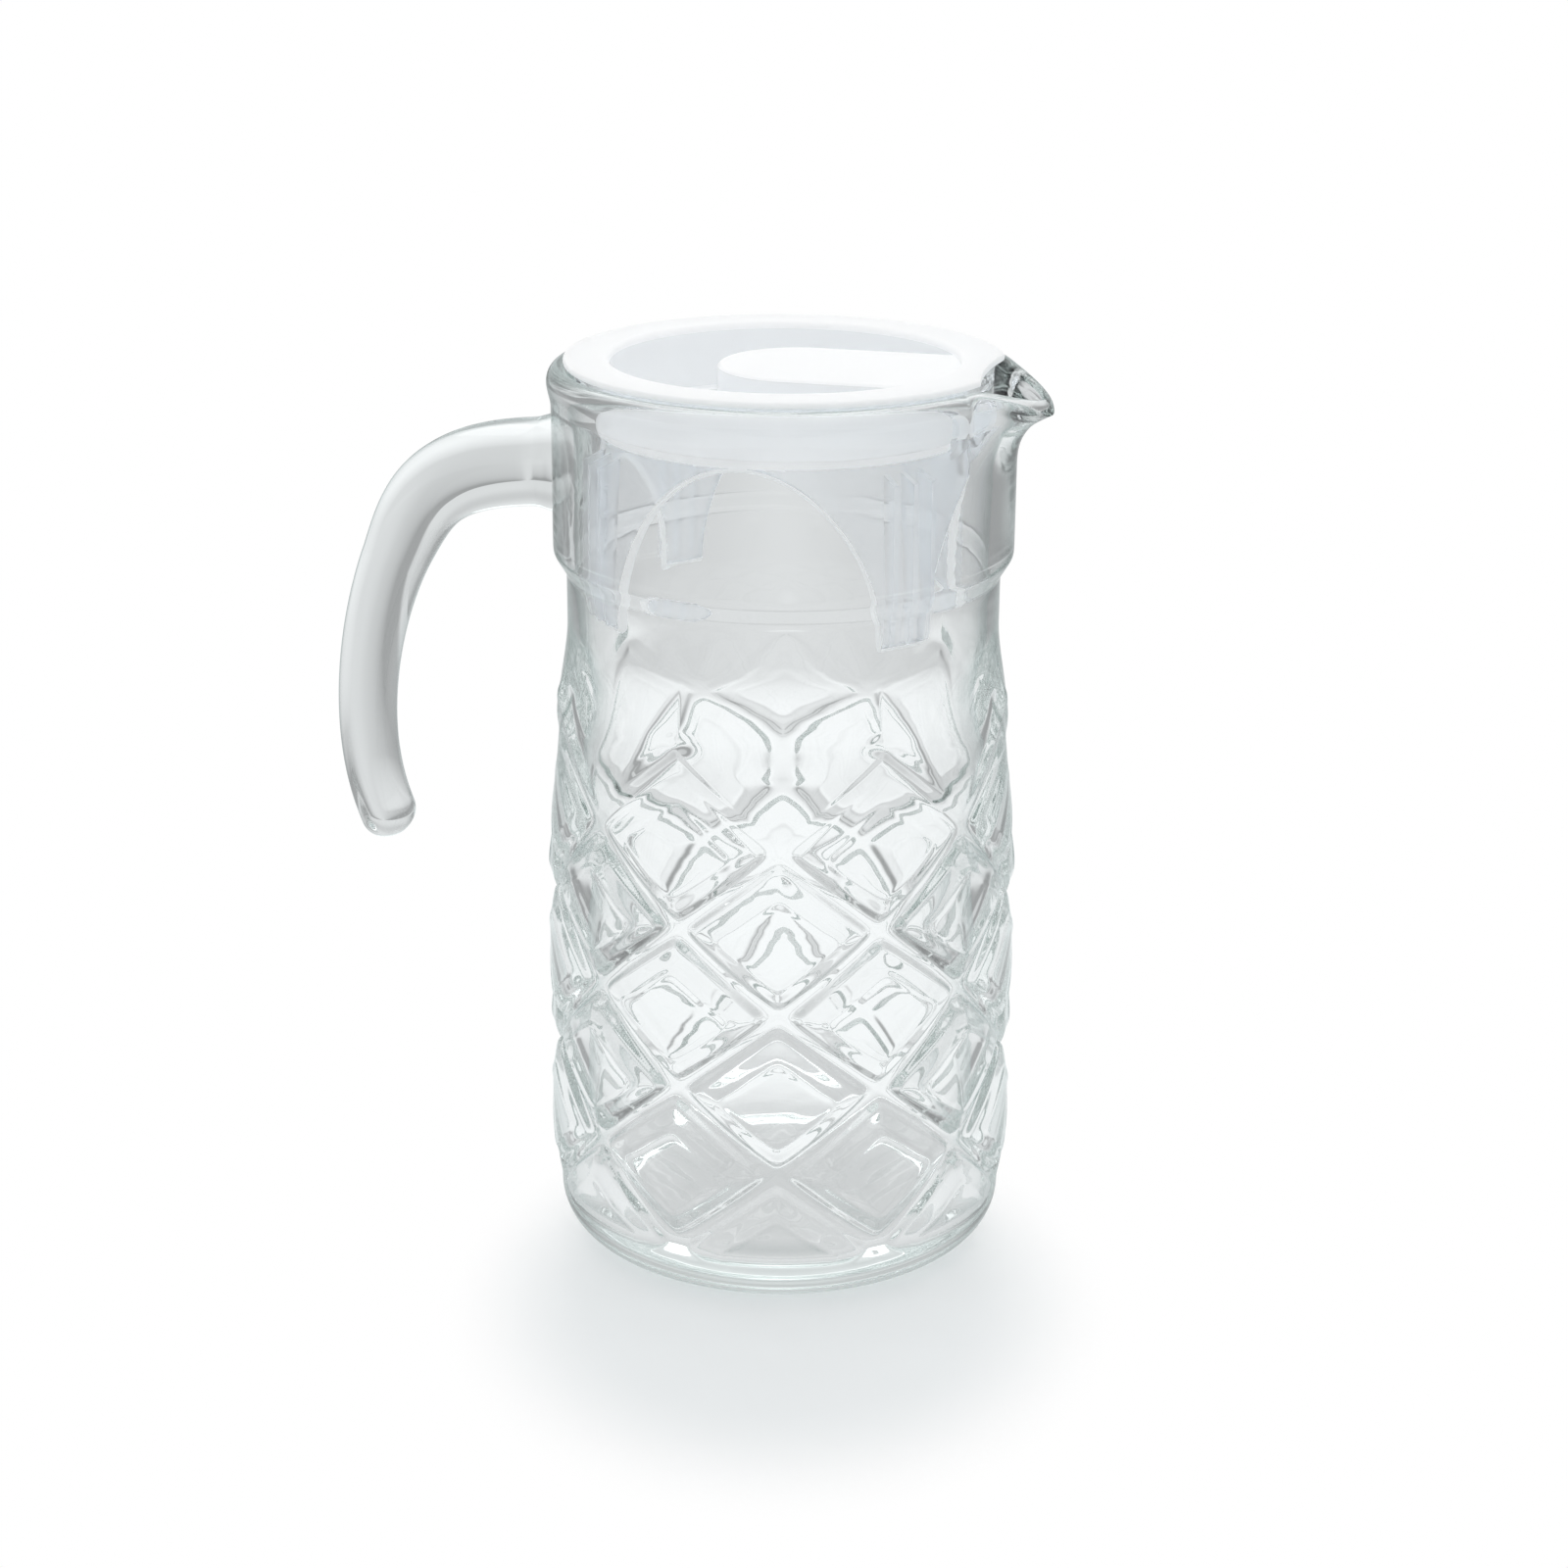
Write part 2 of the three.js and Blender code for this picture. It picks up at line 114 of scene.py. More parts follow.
class JugGlassSizes(bpy.types.PropertyGroup):
    """Sizes of the pressed glass body."""

    foot_radius: length("Foot radius", "Outside radius just above the rounded heel", 52.6)
    heel_radius: length("Heel radius", "Round between the foot and the side", 10)
    base_recess: length("Base recess", "How far the middle of the base stands off the table", 1.4)
    base_thickness: length("Base thickness", "Thickness of the glass base", 9)
    inner_foot_radius: length("Inner foot radius", "Inside radius at the base", 45.2)
    inner_fillet: length("Inner fillet", "Round between the inside wall and the base", 5)
    mouth_radius: length("Mouth radius", "Inside radius at the rim", 47.4)
    wave: length("Wave", "Unevenness of the inside wall, as pressed glass has", 0.1)
    ripple: length("Ripple", "Height of the fine level ripples on the inside wall", 0.007)
    ripple_pitch: length("Ripple pitch", "Distance between those ripples", 3.4)
    column_count: count("Columns", "Columns of diamonds round the jug", 14)
    pattern_top: length("Pattern top", "Height of the topmost crossings of the grooves", 129.8)
    diamond_pitch: length("Diamond pitch", "Height of one diamond", 38.6)
    pattern_fade: length("Pattern fade", "Height over which the diamonds run out at the heel", 9)
    groove_radius: length("Groove radius", "Radius at the bottom of the grooves", 51.6)
    groove_half_width: length("Groove half width", "Half the width of a groove's flat bottom", 1)
    groove_wall: length("Groove wall", "Width of the steep wall on each side of a groove", 1.2)
    wall_share: share("Wall share", "Share of the full rise that a groove's wall takes", 0.65)
    wall_round: share("Wall round", "How round the edges of a groove's wall are", 0.25)
    diamond_rise: length("Diamond rise", "How far a diamond stands out of the grooves", 2.9)
    relief_grow: length("Relief growth", "Height over which the diamonds reach their full rise", 42)
    bevel_width: length("Bevel width", "Width of the slope below each diamond", 4.4)
    upper_bevel_width: length("Upper bevel width", "Width of the gentler slope above each diamond", 6)
    bevel_round: share("Bevel round", "How round the edges of the slope are", 0.12)
    corner_round: length("Corner round", "Round at the corners of the diamonds", 0.8)
    bead: share("Bead", "Height of the fine bead along a diamond's edge, as a share of its rise", 0.075)
    petal_rise: length("Petal rise", "How far the petals stand out of the shoulder", 1.15)
    petal_height: length("Petal height", "Height from a petal's base to its tip", 23)
    petal_half_width: share("Petal half width", "Half the width of a petal's base, in columns", 0.7)
    crown_peak: length("Crown peak", "Height of a petal's tip above the pattern", 18.2)
    drop_rise: length("Drop rise", "How far the small drop on each petal stands out", 0.5)
    drop_half_length: length("Drop half length", "Half the length of that drop", 4.6)
    drop_height: length("Drop height", "How high above the top crossings that drop lies", 4)
    shoulder_start: length("Shoulder start", "How far below the pattern's top the shoulder starts", 2)
    shoulder_height: length("Shoulder height", "Height of the slope from the pattern to the waist", 22)
    waist_radius: length("Waist radius", "Outside radius of the smooth waist", 49.2)
    step_height: length("Step height", "Height of the step under the collar", 4.7)
    collar_radius: length("Collar radius", "Outside radius of the smooth collar", 52.2)
    collar_bottom: length("Collar bottom", "Height at which the collar starts", 166)
    rim_bulge: length("Rim bulge", "How far the rim bead stands out of the collar", 0.9)
    rim_round: length("Rim round", "Height of the rounded rim", 3.5)
    rim_flare: length("Rim flare", "Height over which the collar swells into the rim", 5.5)
    spout_reach: length("Spout reach", "Distance of the lip from the axis", 60.6)
    spout_dip: length("Spout dip", "How far the spout's tip lies below the rim", 4.5)
    spout_depth: length("Spout depth", "Height over which the spout grows out of the collar", 18.5)
    spout_half_angle: angle("Spout half angle", "Half the angle that the spout takes of the rim", 24)
    spout_curl: number("Spout curl", "How suddenly the spout curls out at its top", 2.2)
    lip_thinning: length("Lip thinning", "How much thinner the glass is at the spout's lip", 2.8)
    steps_per_column: count("Steps per column", "Facets across one column", 46)
    row_step: length("Row step", "Height of one row of facets on the pattern", 0.45)
    inner_row_step: length("Inner row step", "Height of one row of facets on the inside wall", 0.9)


class JugHandleSizes(bpy.types.PropertyGroup):
    """Sizes of the solid glass handle."""

    weld_gap: length("Weld gap", "Gap between the handle's root and the collar", 0.3)
    reach: length("Reach", "Distance of the handle's lower stretch from the axis", 99.4)
    drop: length("Drop", "Height from the root to the tip", 89)
    bend_out: length("Bend out", "Distance of the bend from the collar", 41)
    bend_drop: length("Bend drop", "Height from the root to the bend", 25)
    tip_inset: length("Tip inset", "How far the tip turns in towards the jug", 1.8)
    root_thickness: length("Root thickness", "Thickness where the handle meets the collar", 20)
    root_flare: length("Root flare", "How much thicker the handle gets at its weld", 2.6)
    flare_length: length("Flare length", "Length over which the handle swells into its weld", 6)
    bend_thickness: length("Bend thickness", "Thickness at the bend", 15.4)
    tip_thickness: length("Tip thickness", "Thickness at the tip", 12)
    root_width: length("Root width", "Width where the handle meets the collar", 19)
    tip_width: length("Tip width", "Width at the tip", 15)
    corner: number("Corner", "How square the section is, 2 being an ellipse", 2.6)
    section_points: count("Section points", "Points round the section", 48)
    steps: count("Steps", "Rings along each half of the handle", 56)
    cap_steps: count("Cap steps", "Rings of the rounded tip", 14)


class JugLidSizes(bpy.types.PropertyGroup):
    """Sizes of the lid's moulding."""

    flange_thickness: length("Flange thickness", "Thickness of the flange on the rim", 1.5)
    flange_radius: length("Flange radius", "Outside radius of the flange", 49.3)
    skirt_radius: length("Skirt radius", "Outside radius of the wall under the flange", 41.2)
    wall: length("Wall", "Thickness of the lid's walls", 2.2)
    pan_depth: length("Pan depth", "Depth of the sunken pan", 14.7)
    floor_thickness: length("Floor thickness", "Thickness of the pan's floor", 1.2)
    leg_radius: length("Leg radius", "Outside radius at the ends of the legs", 43.2)
    island_half_width: length("Island half width", "Half the width of the island", 18.5)
    island_end_centre: length("Island end centre", "Place of the centre of the island's round end", 3.5)
    island_sink: length("Island sink", "How far the island lies below the flange", 1.5)
    island_round: length("Island round", "Round along the island's top edge", 1.2)
    pour_half_width: length("Pour half width", "Half the width of the pouring tunnel", 12.9)
    pour_inner_end: length("Pour inner end", "How far the tunnel runs in past the island's centre", 11.8)
    notch_depth: length("Notch depth", "Depth of the notch at the spout", 3.7)
    notch_radius: length("Notch radius", "Radius of the notch's curve", 90)
    side_arch_half_width: length("Side arch half width", "Half the width of a side arch", 29.2)
    side_arch_drop: length("Side arch drop", "Depth of a side arch's top below the flange", 17)
    end_arch_half_width: length("End arch half width", "Half the width of an end arch", 23)
    end_arch_drop: length("End arch drop", "Depth of an end arch's top below the flange", 26)
    fin_count: count("Fins", "Fins on each leg", 3)
    fin_thickness: length("Fin thickness", "Thickness of a fin", 1.2)
    fin_out: length("Fin out", "How far a fin stands out of the leg", 2.3)
    fin_margin: length("Fin margin", "Height left free at both ends of a fin", 2)
    edge_round: length("Edge round", "Round along the moulding's edges", 0.5)
    arch_steps: count("Arch steps", "Facets across one arch", 44)
    leg_steps: count("Leg steps", "Facets across one leg", 10)


class JugFinishes(bpy.types.PropertyGroup):
    """Colours and finishes."""

    glass_tint: colour("Glass tint", "Colour that thick glass takes on", (0.6, 0.74, 0.7))
    # Painted shade: the glass's base colour turns to this grey-green where the glass is seen edge on
    painted_edge_shade: colour("Glass edge", "Colour that glass takes on when seen edge on", (0.3, 0.4, 0.39))
    glass_density: number("Glass density", "How strongly thick glass is tinted, per metre", 2.5)
    glass_ior: number("Glass refraction", "Refractive index of the glass", 1.52)
    plastic: colour("Plastic", "Colour of the lid", (0.97, 0.985, 1))
    plastic_ior: number("Plastic refraction", "Refractive index of the plastic", 1.03)
    plastic_spread: length("Plastic spread", "How far light spreads inside the plastic", 4)
    flange_clear: share("Flange clearness", "How see-through the thick flange is", 0.1)
    rib_clear: share("Rib clearness", "How see-through the centring rib is", 0.92)
    pan_clear: share("Pan clearness", "How see-through the pan is", 0.25)
    wall_clear: share("Wall clearness", "How see-through the thin walls are", 0.88)
    body_uneven: share("Body unevenness", "How uneven the skin of the glass body is", 0.06)
    handle_uneven: share("Handle unevenness", "How uneven the skin of the handle is", 0.04)
    flange_rough: share("Flange roughness", "How rough the skin of the flange is", 0.4)
    pan_rough: share("Pan roughness", "How rough the skin of the pan is", 0.2)
    wall_rough: share("Wall roughness", "How rough the skin of the thin walls and the rib is", 0.1)


class JugStudio(bpy.types.PropertyGroup):
    """Camera, floor and light."""

    camera_azimuth: angle("Camera azimuth", "Place of the camera round the jug", 13.5)
    camera_distance: length("Camera distance", "Level distance of the camera from the axis", 689.5)
    camera_height: length("Camera height", "Height of the camera above the floor", 349.4)
    camera_pitch: angle("Camera pitch", "How far the camera looks down", 19.23)
    camera_roll: angle("Camera roll", "How far the camera is turned about its line of sight", 0.39)
    camera_yaw: angle("Camera yaw", "How far the camera looks past the axis", 0.036)
    lens: number("Lens", "Focal length in millimetres on a 36 mm frame", 72)
    floor_radius: length("Floor radius", "Radius of the round floor", 4000)
    # The lit floor in this grey shows to the camera only in the shadow's oval, where the grey adds
    # painted shade to the cast shadow
    floor_colour: colour("Floor colour", "Colour of the floor", (0.815, 0.84, 0.85))
    shadow_shift: length("Shadow shift", "How far the shadow's middle lies before the jug's axis", 45)
    shadow_half_width: length("Shadow half width", "Half the width of the shadow", 68)
    shadow_half_depth: length("Shadow half depth", "Half the depth of the shadow", 84)
    shadow_white: share("Shadow white", "How much of the shadow is washed out", 0.15)
    shadow_core: number("Shadow core", "Where the shadow starts to fade, in its half sizes", 0.6)
    shadow_end: number("Shadow end", "Where the shadow has faded to white, in its half sizes", 1.15)
    pool_shift: length("Pool shift", "How far both pools of light lie from the jug's axis", 150)
    pool_half_width: length("Pool half width", "Half the width of a pool of light", 180)
    pool_half_depth: length("Pool half depth", "Half the depth of a pool of light", 190)
    backdrop_grey: share("Backdrop grey", "How light the backdrop looks in the glass", 0.74)
    band_share: share("Band share", "Light of the band above the backdrop, as a share of it", 0.8)
    ceiling_grey: share("Ceiling grey", "How light the room's ceiling looks in the glass", 0.85)
    backdrop_tint: colour("Backdrop tint", "Colour of the backdrop in the glass", (0.965, 0.992, 1))
    card_grey: share("Card grey", "How light the cards at both sides look in the glass", 0.3)
    lamp_power: number("Lamp power", "Power of the soft lamp over the jug, in watts", 6.2)
    lamp_size: length("Lamp size", "Side of the soft lamp", 1600)
    lamp_height: length("Lamp height", "Height of the soft lamp", 1300)
    lamp_shift: length("Lamp shift", "How far behind the jug the soft lamp hangs", 433.3)
    light_bounces: count("Light bounces", "How often light may be bent or mirrored inside the glass", 40)
    diffuse_bounces: count("Diffuse bounces", "How often light may be scattered", 10)
    room_light: number("Room light", "Strength of the even light from all round", 0.81)


# Mesh helpers

def soft_step(value, low, high):
    """Soft step from 0 at low to 1 at high."""
    part = np.clip((value - low) / (high - low), 0, 1)
    return part * part * (3 - 2 * part)


def blend(first, second, part):
    """Value between two others."""
    return first + (second - first) * part


def from_even(value):
    """Distance of a value from the nearest even whole number."""
    return np.abs(value - 2 * np.round(value / 2))


def rounded_ramp(value, softness):
    """Straight ramp from 0 to 1 with rounded ends."""
    def corner(x):
        return (x + np.sqrt(x * x + softness * softness)) / 2
    return corner(value) - corner(value - 1)


def new_mesh(name, points, faces):
    """Checked mesh of points and faces."""
    mesh = bpy.data.meshes.new(name)
    mesh.from_pydata(points, [], faces)
    mesh.validate()
    mesh.update()
    return mesh


def band_faces(ring_count, size, closed_loop=False):
    """Faces between neighbouring rings of points."""
    faces = []
    for ring in range(ring_count if closed_loop else ring_count - 1):
        low = ring * size
        high = (ring + 1) % ring_count * size
        for side in range(size):
            after = (side + 1) % size
            faces.append((low + side, low + after, high + after, high + side))
    return faces


def skin_rings(name, rings, first_middle=None, last_middle=None, closed_loop=False):
    """Mesh over rings of points.

    A middle point closes the first or the last ring. A closed loop joins the last ring to the first.
    """
    size = len(rings[0])
    points = [tuple(point) for ring in rings for point in ring]
    faces = band_faces(len(rings), size, closed_loop)
    last_start = (len(rings) - 1) * size
    for middle, start, turned in ((first_middle, 0, True), (last_middle, last_start, False)):
        if middle is None:
            continue
        points.append(tuple(middle))
        tip = len(points) - 1
        for side in range(size):
            after = (side + 1) % size
            edge = (start + after, start + side) if turned else (start + side, start + after)
            faces.append((*edge, tip))
    return new_mesh(name, points, faces)


def prism(name, outlines, heights):
    """Closed mesh over flat outlines at rising heights."""
    size = len(outlines[0])
    points = [(x, y, z) for outline, z in zip(outlines, heights) for x, y in outline]
    bottom = tuple(reversed(range(size)))
    top_start = (len(outlines) - 1) * size
    top = tuple(range(top_start, top_start + size))
    return new_mesh(name, points, [bottom, *band_faces(len(outlines), size), top])


def disc_outline(centre, radius, steps):
    """Round outline about a point on the X axis."""
    turns = np.arange(steps) / steps * 2 * math.pi
    return [(centre + radius * math.cos(turn), radius * math.sin(turn)) for turn in turns]


def link_object(name, data):
    """Object of some data, linked to the scene."""
    made = bpy.data.objects.new(name, data)
    bpy.context.scene.collection.objects.link(made)
    return made


def cut_or_join(base, tool, operation):
    """Base mesh with the tool mesh cut from it or joined to it."""
    pair = [link_object(mesh.name, mesh) for mesh in (base, tool)]
    modifier = pair[0].modifiers.new(operation, "BOOLEAN")
    modifier.operation = operation
    modifier.object = pair[1]
    modifier.solver = "MANIFOLD"
    graph = bpy.context.evaluated_depsgraph_get()
    result = bpy.data.meshes.new_from_object(pair[0].evaluated_get(graph))
    for made in pair:
        bpy.data.objects.remove(made)
    if not result.polygons:
        raise RuntimeError(f"{operation} of {tool.name} left nothing of {base.name}")
    return result


def add_piece(mesh, name, body, node, materials, sharp_angle):
    """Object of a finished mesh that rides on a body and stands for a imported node.

    Its shading is smooth, apart from edges over the sharp angle, in degrees.
    """
    mesh.name = name
    mesh.materials.clear()
    for material in materials:
        mesh.materials.append(material)
    mesh.shade_smooth()
    mesh.set_sharp_from_angle(angle=math.radians(sharp_angle))
    piece = link_object(name, mesh)
    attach(piece, body)
    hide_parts(node)
    return piece


# Pressed glass body

# Half the height, in half diamonds, over which a diamond's lower slope turns into its upper one
SLOPE_TURN = 0.15
# How many times longer than high the drop on a petal is
DROP_STRETCH = 2
# Waves of the inside wall: count round the jug, lean per millimetre of height, phase and size
SLOW_WAVES = ((3, 0.05, 1.3, 1 / 2), (8, -0.09, 0.7, 1 / 3), (0, 0.16, 2, 1 / 3))
# Waves that bend the level ripples, and the wave along which the ripples come and go
RIPPLE_BENDS = ((5, 0.07, 0, 2), (11, -0.03, 0, 1.5))
RIPPLE_SWELL = ((4, 0.13, 0, 1),)
# Rows of facets on the plain parts of the glass
BASE_ROWS = 24
HEEL_ROWS = 15
FLARE_ROWS = 9
RIM_ROWS = 21
FILLET_ROWS = 14
INNER_BASE_ROWS = 4
# Where the rows under the base start and end, and where its recess starts to run out, in its radius
BASE_START = 0.1
BASE_END = 0.98
RECESS_EDGE = 0.82


def rim_start(sizes):
    """Height at which the rim starts to round."""
    return GLASS_HIGH.z - sizes.rim_round


def groove_slope(sizes, distance, width):
    """Share of the full rise at a distance from a groove's middle.

    It climbs the groove's wall and then a slope that ends at this width.
    """
    from_edge = distance - sizes.groove_half_width
    up_wall = from_edge / sizes.groove_wall
    up_slope = (from_edge - sizes.groove_wall) / (width - sizes.groove_wall)
    wall = rounded_ramp(up_wall, sizes.wall_round)
    slope = rounded_ramp(up_slope, sizes.bevel_round)
    bead = np.exp(-((up_slope - 1) / sizes.bevel_round) ** 2 / 2)
    return blend(slope, wall, sizes.wall_share) + sizes.bead * bead


def groove_unit(sizes):
    """Distance between a groove and the next diamond's middle."""
    column_width = sizes.groove_radius * 2 * math.pi / sizes.column_count
    return 1 / math.hypot(1 / column_width, 2 / sizes.diamond_pitch)


def diamond_shape(sizes, column, row):
    """Share of the full rise on the pattern: 0 in a groove, 1 on a diamond's flat."""
    first = from_even(column + row) * groove_unit(sizes)
    second = from_even(column - row) * groove_unit(sizes)
    distance = (first + second) / 2 - np.hypot((first - second) / 2, sizes.corner_round)
    above_middle = ((column + row) % 2 - (column - row) % 2) / 2
    upper = soft_step(above_middle, -SLOPE_TURN, SLOPE_TURN)
    width = blend(sizes.bevel_width, sizes.upper_bevel_width, upper)
    return groove_slope(sizes, distance, width)


def crown_relief(sizes, column, row, height):
    """Rise above the zigzag: a soft petal with a small drop on it over every second column."""
    aside = from_even(column)
    up = (sizes.pattern_top + sizes.crown_peak - height) / sizes.petal_height
    petal = soft_step(up - aside / sizes.petal_half_width, 0, 1)
    zigzag = groove_slope(sizes, (row + aside) * groove_unit(sizes), sizes.bevel_width)
    outward = aside * sizes.groove_radius * 2 * math.pi / sizes.column_count
    upward = height - sizes.pattern_top - sizes.drop_height
    drop = np.exp(-(np.hypot(outward, DROP_STRETCH * upward) / sizes.drop_half_length) ** 2)
    return sizes.petal_rise * petal * zigzag + sizes.drop_rise * drop


def outer_radius(sizes, turn, height):
    """Outside radius of the jug below its rim."""
    column = turn * sizes.column_count / (2 * math.pi)
    row = (height - sizes.pattern_top) / (sizes.diamond_pitch / 2)
    above_zigzag = row > -from_even(column)
    shoulder_low = sizes.pattern_top - sizes.shoulder_start
    shoulder = 1 - soft_step(height, shoulder_low, shoulder_low + sizes.shoulder_height)
    fade = soft_step(height, sizes.heel_radius, sizes.heel_radius + sizes.pattern_fade)
    step = rounded_ramp((height - sizes.collar_bottom) / sizes.step_height + 1, sizes.bevel_round)
    plain = blend(sizes.waist_radius, sizes.collar_radius, step)
    ground = blend(sizes.foot_radius, sizes.groove_radius, fade)
    depth = soft_step(sizes.pattern_top - height, 0, sizes.relief_grow)
    crown = crown_relief(sizes, column, row, height)
    rise = np.where(above_zigzag, crown, sizes.diamond_rise * depth * diamond_shape(sizes, column, row))
    return blend(plain, ground, shoulder) + rise * fade


def inner_radius(sizes, height):
    """Inside radius of the glass, which narrows evenly down to the foot."""
    part = (height - sizes.base_thickness) / (rim_start(sizes) - sizes.base_thickness)
    return blend(sizes.inner_foot_radius, sizes.mouth_radius, min(max(part, 0), 1))


def wave_sum(waves, turn, height):
    """Sum of some waves at a height and in a direction."""
    level = height / MM
    return sum(size * np.sin(times * turn + lean * level + phase) for times, lean, phase, size in waves)


def glass_wave(sizes, turn, height):
    """Slow unevenness of the inside wall, with fine level ripples that come and go."""
    bend = wave_sum(RIPPLE_BENDS, turn, height)
    ripple = np.sin(2 * math.pi * height / sizes.ripple_pitch + bend)
    strength = (1 + wave_sum(RIPPLE_SWELL, turn, height)) / 2
    return sizes.wave * wave_sum(SLOW_WAVES, turn, height) + sizes.ripple * ripple * strength


def spout_pull(sizes, turn, height):
    """How strongly a place on the collar or the rim is drawn out into the spout."""
    root = rim_start(sizes) - sizes.spout_depth
    near = np.clip(np.arctan2(np.sin(turn), np.cos(turn)) / sizes.spout_half_angle, -1, 1)
    up = min(max((height - root) / sizes.spout_depth, 0), 1)
    return np.cos(near * math.pi / 2) ** 2 * up ** sizes.spout_curl


def foot_rows(sizes):
    """Heights and radii of the rows under the base and round the heel."""
    stand_radius = sizes.foot_radius - sizes.heel_radius
    rows = []
    for part in np.linspace(BASE_START, BASE_END, BASE_ROWS):
        height = sizes.base_recess * (1 - soft_step(part, RECESS_EDGE, 1))
        rows.append((height, stand_radius * part))
    for part in np.linspace(0, 1, HEEL_ROWS)[:-1] * math.pi / 2:
        height = sizes.heel_radius * (1 - math.cos(part))
        rows.append((height, stand_radius + sizes.heel_radius * math.sin(part)))
    return rows


def outside_rows(sizes, turns):
    """Rows up the pattern, the waist and the collar, and over the rim."""
    top = rim_start(sizes)
    collar_top = top - sizes.rim_flare
    rim_radius = sizes.collar_radius + sizes.rim_bulge
    row_count = round((collar_top - sizes.heel_radius) / sizes.row_step)
    rows = []
    for height in np.linspace(sizes.heel_radius, collar_top, row_count):
        rows.append((height, outer_radius(sizes, turns, height)))
    for part in np.linspace(0, 1, FLARE_ROWS)[1:-1]:
        swell = sizes.rim_bulge * soft_step(part, 0, 1)
        rows.append((blend(collar_top, top, part), sizes.collar_radius + swell))
    middle = (rim_radius + sizes.mouth_radius) / 2
    half = (rim_radius - sizes.mouth_radius) / 2
    for part in np.linspace(0, math.pi, RIM_ROWS):
        rows.append((top + sizes.rim_round * math.sin(part), middle + half * math.cos(part)))
    return rows


def inside_rows(sizes, turns):
    """Rows down the inside wall, round its fillet and in over the base."""
    top = rim_start(sizes)
    fillet_top = sizes.base_thickness + sizes.inner_fillet
    row_count = round((top - fillet_top) / sizes.inner_row_step)
    rows = []
    for height in np.linspace(top, fillet_top, row_count)[1:-1]:
        calm = soft_step(top - height, 0, sizes.spout_depth)
        rows.append((height, inner_radius(sizes, height) + glass_wave(sizes, turns, height) * calm))
    wall_radius = inner_radius(sizes, fillet_top)
    wave = glass_wave(sizes, turns, fillet_top)
    for part in np.linspace(0, math.pi / 2, FILLET_ROWS):
        height = sizes.base_thickness + sizes.inner_fillet * (1 - math.sin(part))
        radius = wall_radius - sizes.inner_fillet * (1 - math.cos(part))
        rows.append((height, radius + wave * math.cos(part)))
    for part in np.linspace(1, 0, INNER_BASE_ROWS + 2)[1:-1]:
        rows.append((sizes.base_thickness, (wall_radius - sizes.inner_fillet) * part))
    return rows


def glass_body_mesh(sizes):
    """Closed skin of the glass body, from under its foot, over the rim and down the inside."""
    side_count = sizes.column_count * sizes.steps_per_column
    turns = np.arange(side_count) / side_count * 2 * math.pi
    rim_radius = sizes.collar_radius + sizes.rim_bulge
    rings = []
    for height, radius in foot_rows(sizes) + outside_rows(sizes, turns) + inside_rows(sizes, turns):
        pull = spout_pull(sizes, turns, height)
        inward = soft_step(rim_radius - radius, sizes.rim_bulge, rim_radius - sizes.mouth_radius)
        out = radius + (sizes.spout_reach - rim_radius + sizes.lip_thinning * inward) * pull
        up = height - sizes.spout_dip * pull
        rings.append(np.column_stack((out * np.cos(turns), out * np.sin(turns), up)))
    return skin_rings("glass_body", rings, (0, 0, sizes.base_recess), (0, 0, sizes.base_thickness))


# Handle

# Depth of the course's start inside the collar, as a share of the root's thickness
ROOT_SINK = 1 / 4
# How far the course runs straight out, as a share of the bend's distance
ROOT_STRAIGHT = 3 / 4
# How the course leans at the bend, as shares of the bend's distance and of its drop
BEND_LEAN_OUT = 1 / 6
BEND_LEAN_DOWN = 3 / 5
# How far above the tip the course turns in, as a share of the height from the tip to the bend
TIP_STRAIGHT = 1 / 3


def bezier(points, part):
    """Point and direction on a cubic curve."""
    a, b, c, d = points
    rest = 1 - part
    place = a * rest ** 3 + b * (3 * rest ** 2 * part) + c * (3 * rest * part ** 2) + d * part ** 3
    along = (b - a) * (3 * rest ** 2) + (c - b) * (6 * rest * part) + (d - c) * (3 * part ** 2)
    return place, along / np.linalg.norm(along)


def in_plane(x, z):
    """Point in the handle's plane, with x counted away from the spout."""
    return np.array((-x, 0, z))


def root_height(glass):
    """Height of the handle's root, halfway up the plain collar."""
    return (glass.collar_bottom + rim_start(glass) - glass.rim_flare) / 2


def handle_course(sizes, glass):
    """Two cubic curves: from the root out to the bend, and from the bend down to the tip."""
    root_z = root_height(glass)
    bend_x = glass.collar_radius + sizes.bend_out
    bend_z = root_z - sizes.bend_drop
    tip_z = root_z - sizes.drop
    lean_x = sizes.bend_out * BEND_LEAN_OUT
    lean_z = sizes.bend_drop * BEND_LEAN_DOWN
    outward = (
        in_plane(glass.collar_radius - sizes.root_thickness * ROOT_SINK, root_z),
        in_plane(glass.collar_radius + sizes.bend_out * ROOT_STRAIGHT, root_z),
        in_plane(bend_x - lean_x, bend_z + lean_z),
        in_plane(bend_x, bend_z),
    )
    downward = (
        in_plane(bend_x, bend_z),
        in_plane(bend_x + lean_x, bend_z - lean_z),
        in_plane(sizes.reach + lean_x, tip_z + (bend_z - tip_z) * TIP_STRAIGHT),
        in_plane(sizes.reach - sizes.tip_inset, tip_z),
    )
    return outward, downward


def handle_ring(sizes, place, along, thickness, width):
    """Rounded section across the handle's course."""
    turn = (np.arange(sizes.section_points) + 0.5) / sizes.section_points * 2 * math.pi
    power = 2 / sizes.corner
    aside = np.sign(np.cos(turn)) * np.abs(np.cos(turn)) ** power
    upward = np.sign(np.sin(turn)) * np.abs(np.sin(turn)) ** power
    across = np.array((0, 1, 0))
    up = np.cross(along, across)
    return place + np.outer(aside * width / 2, across) + np.outer(upward * thickness / 2, up)


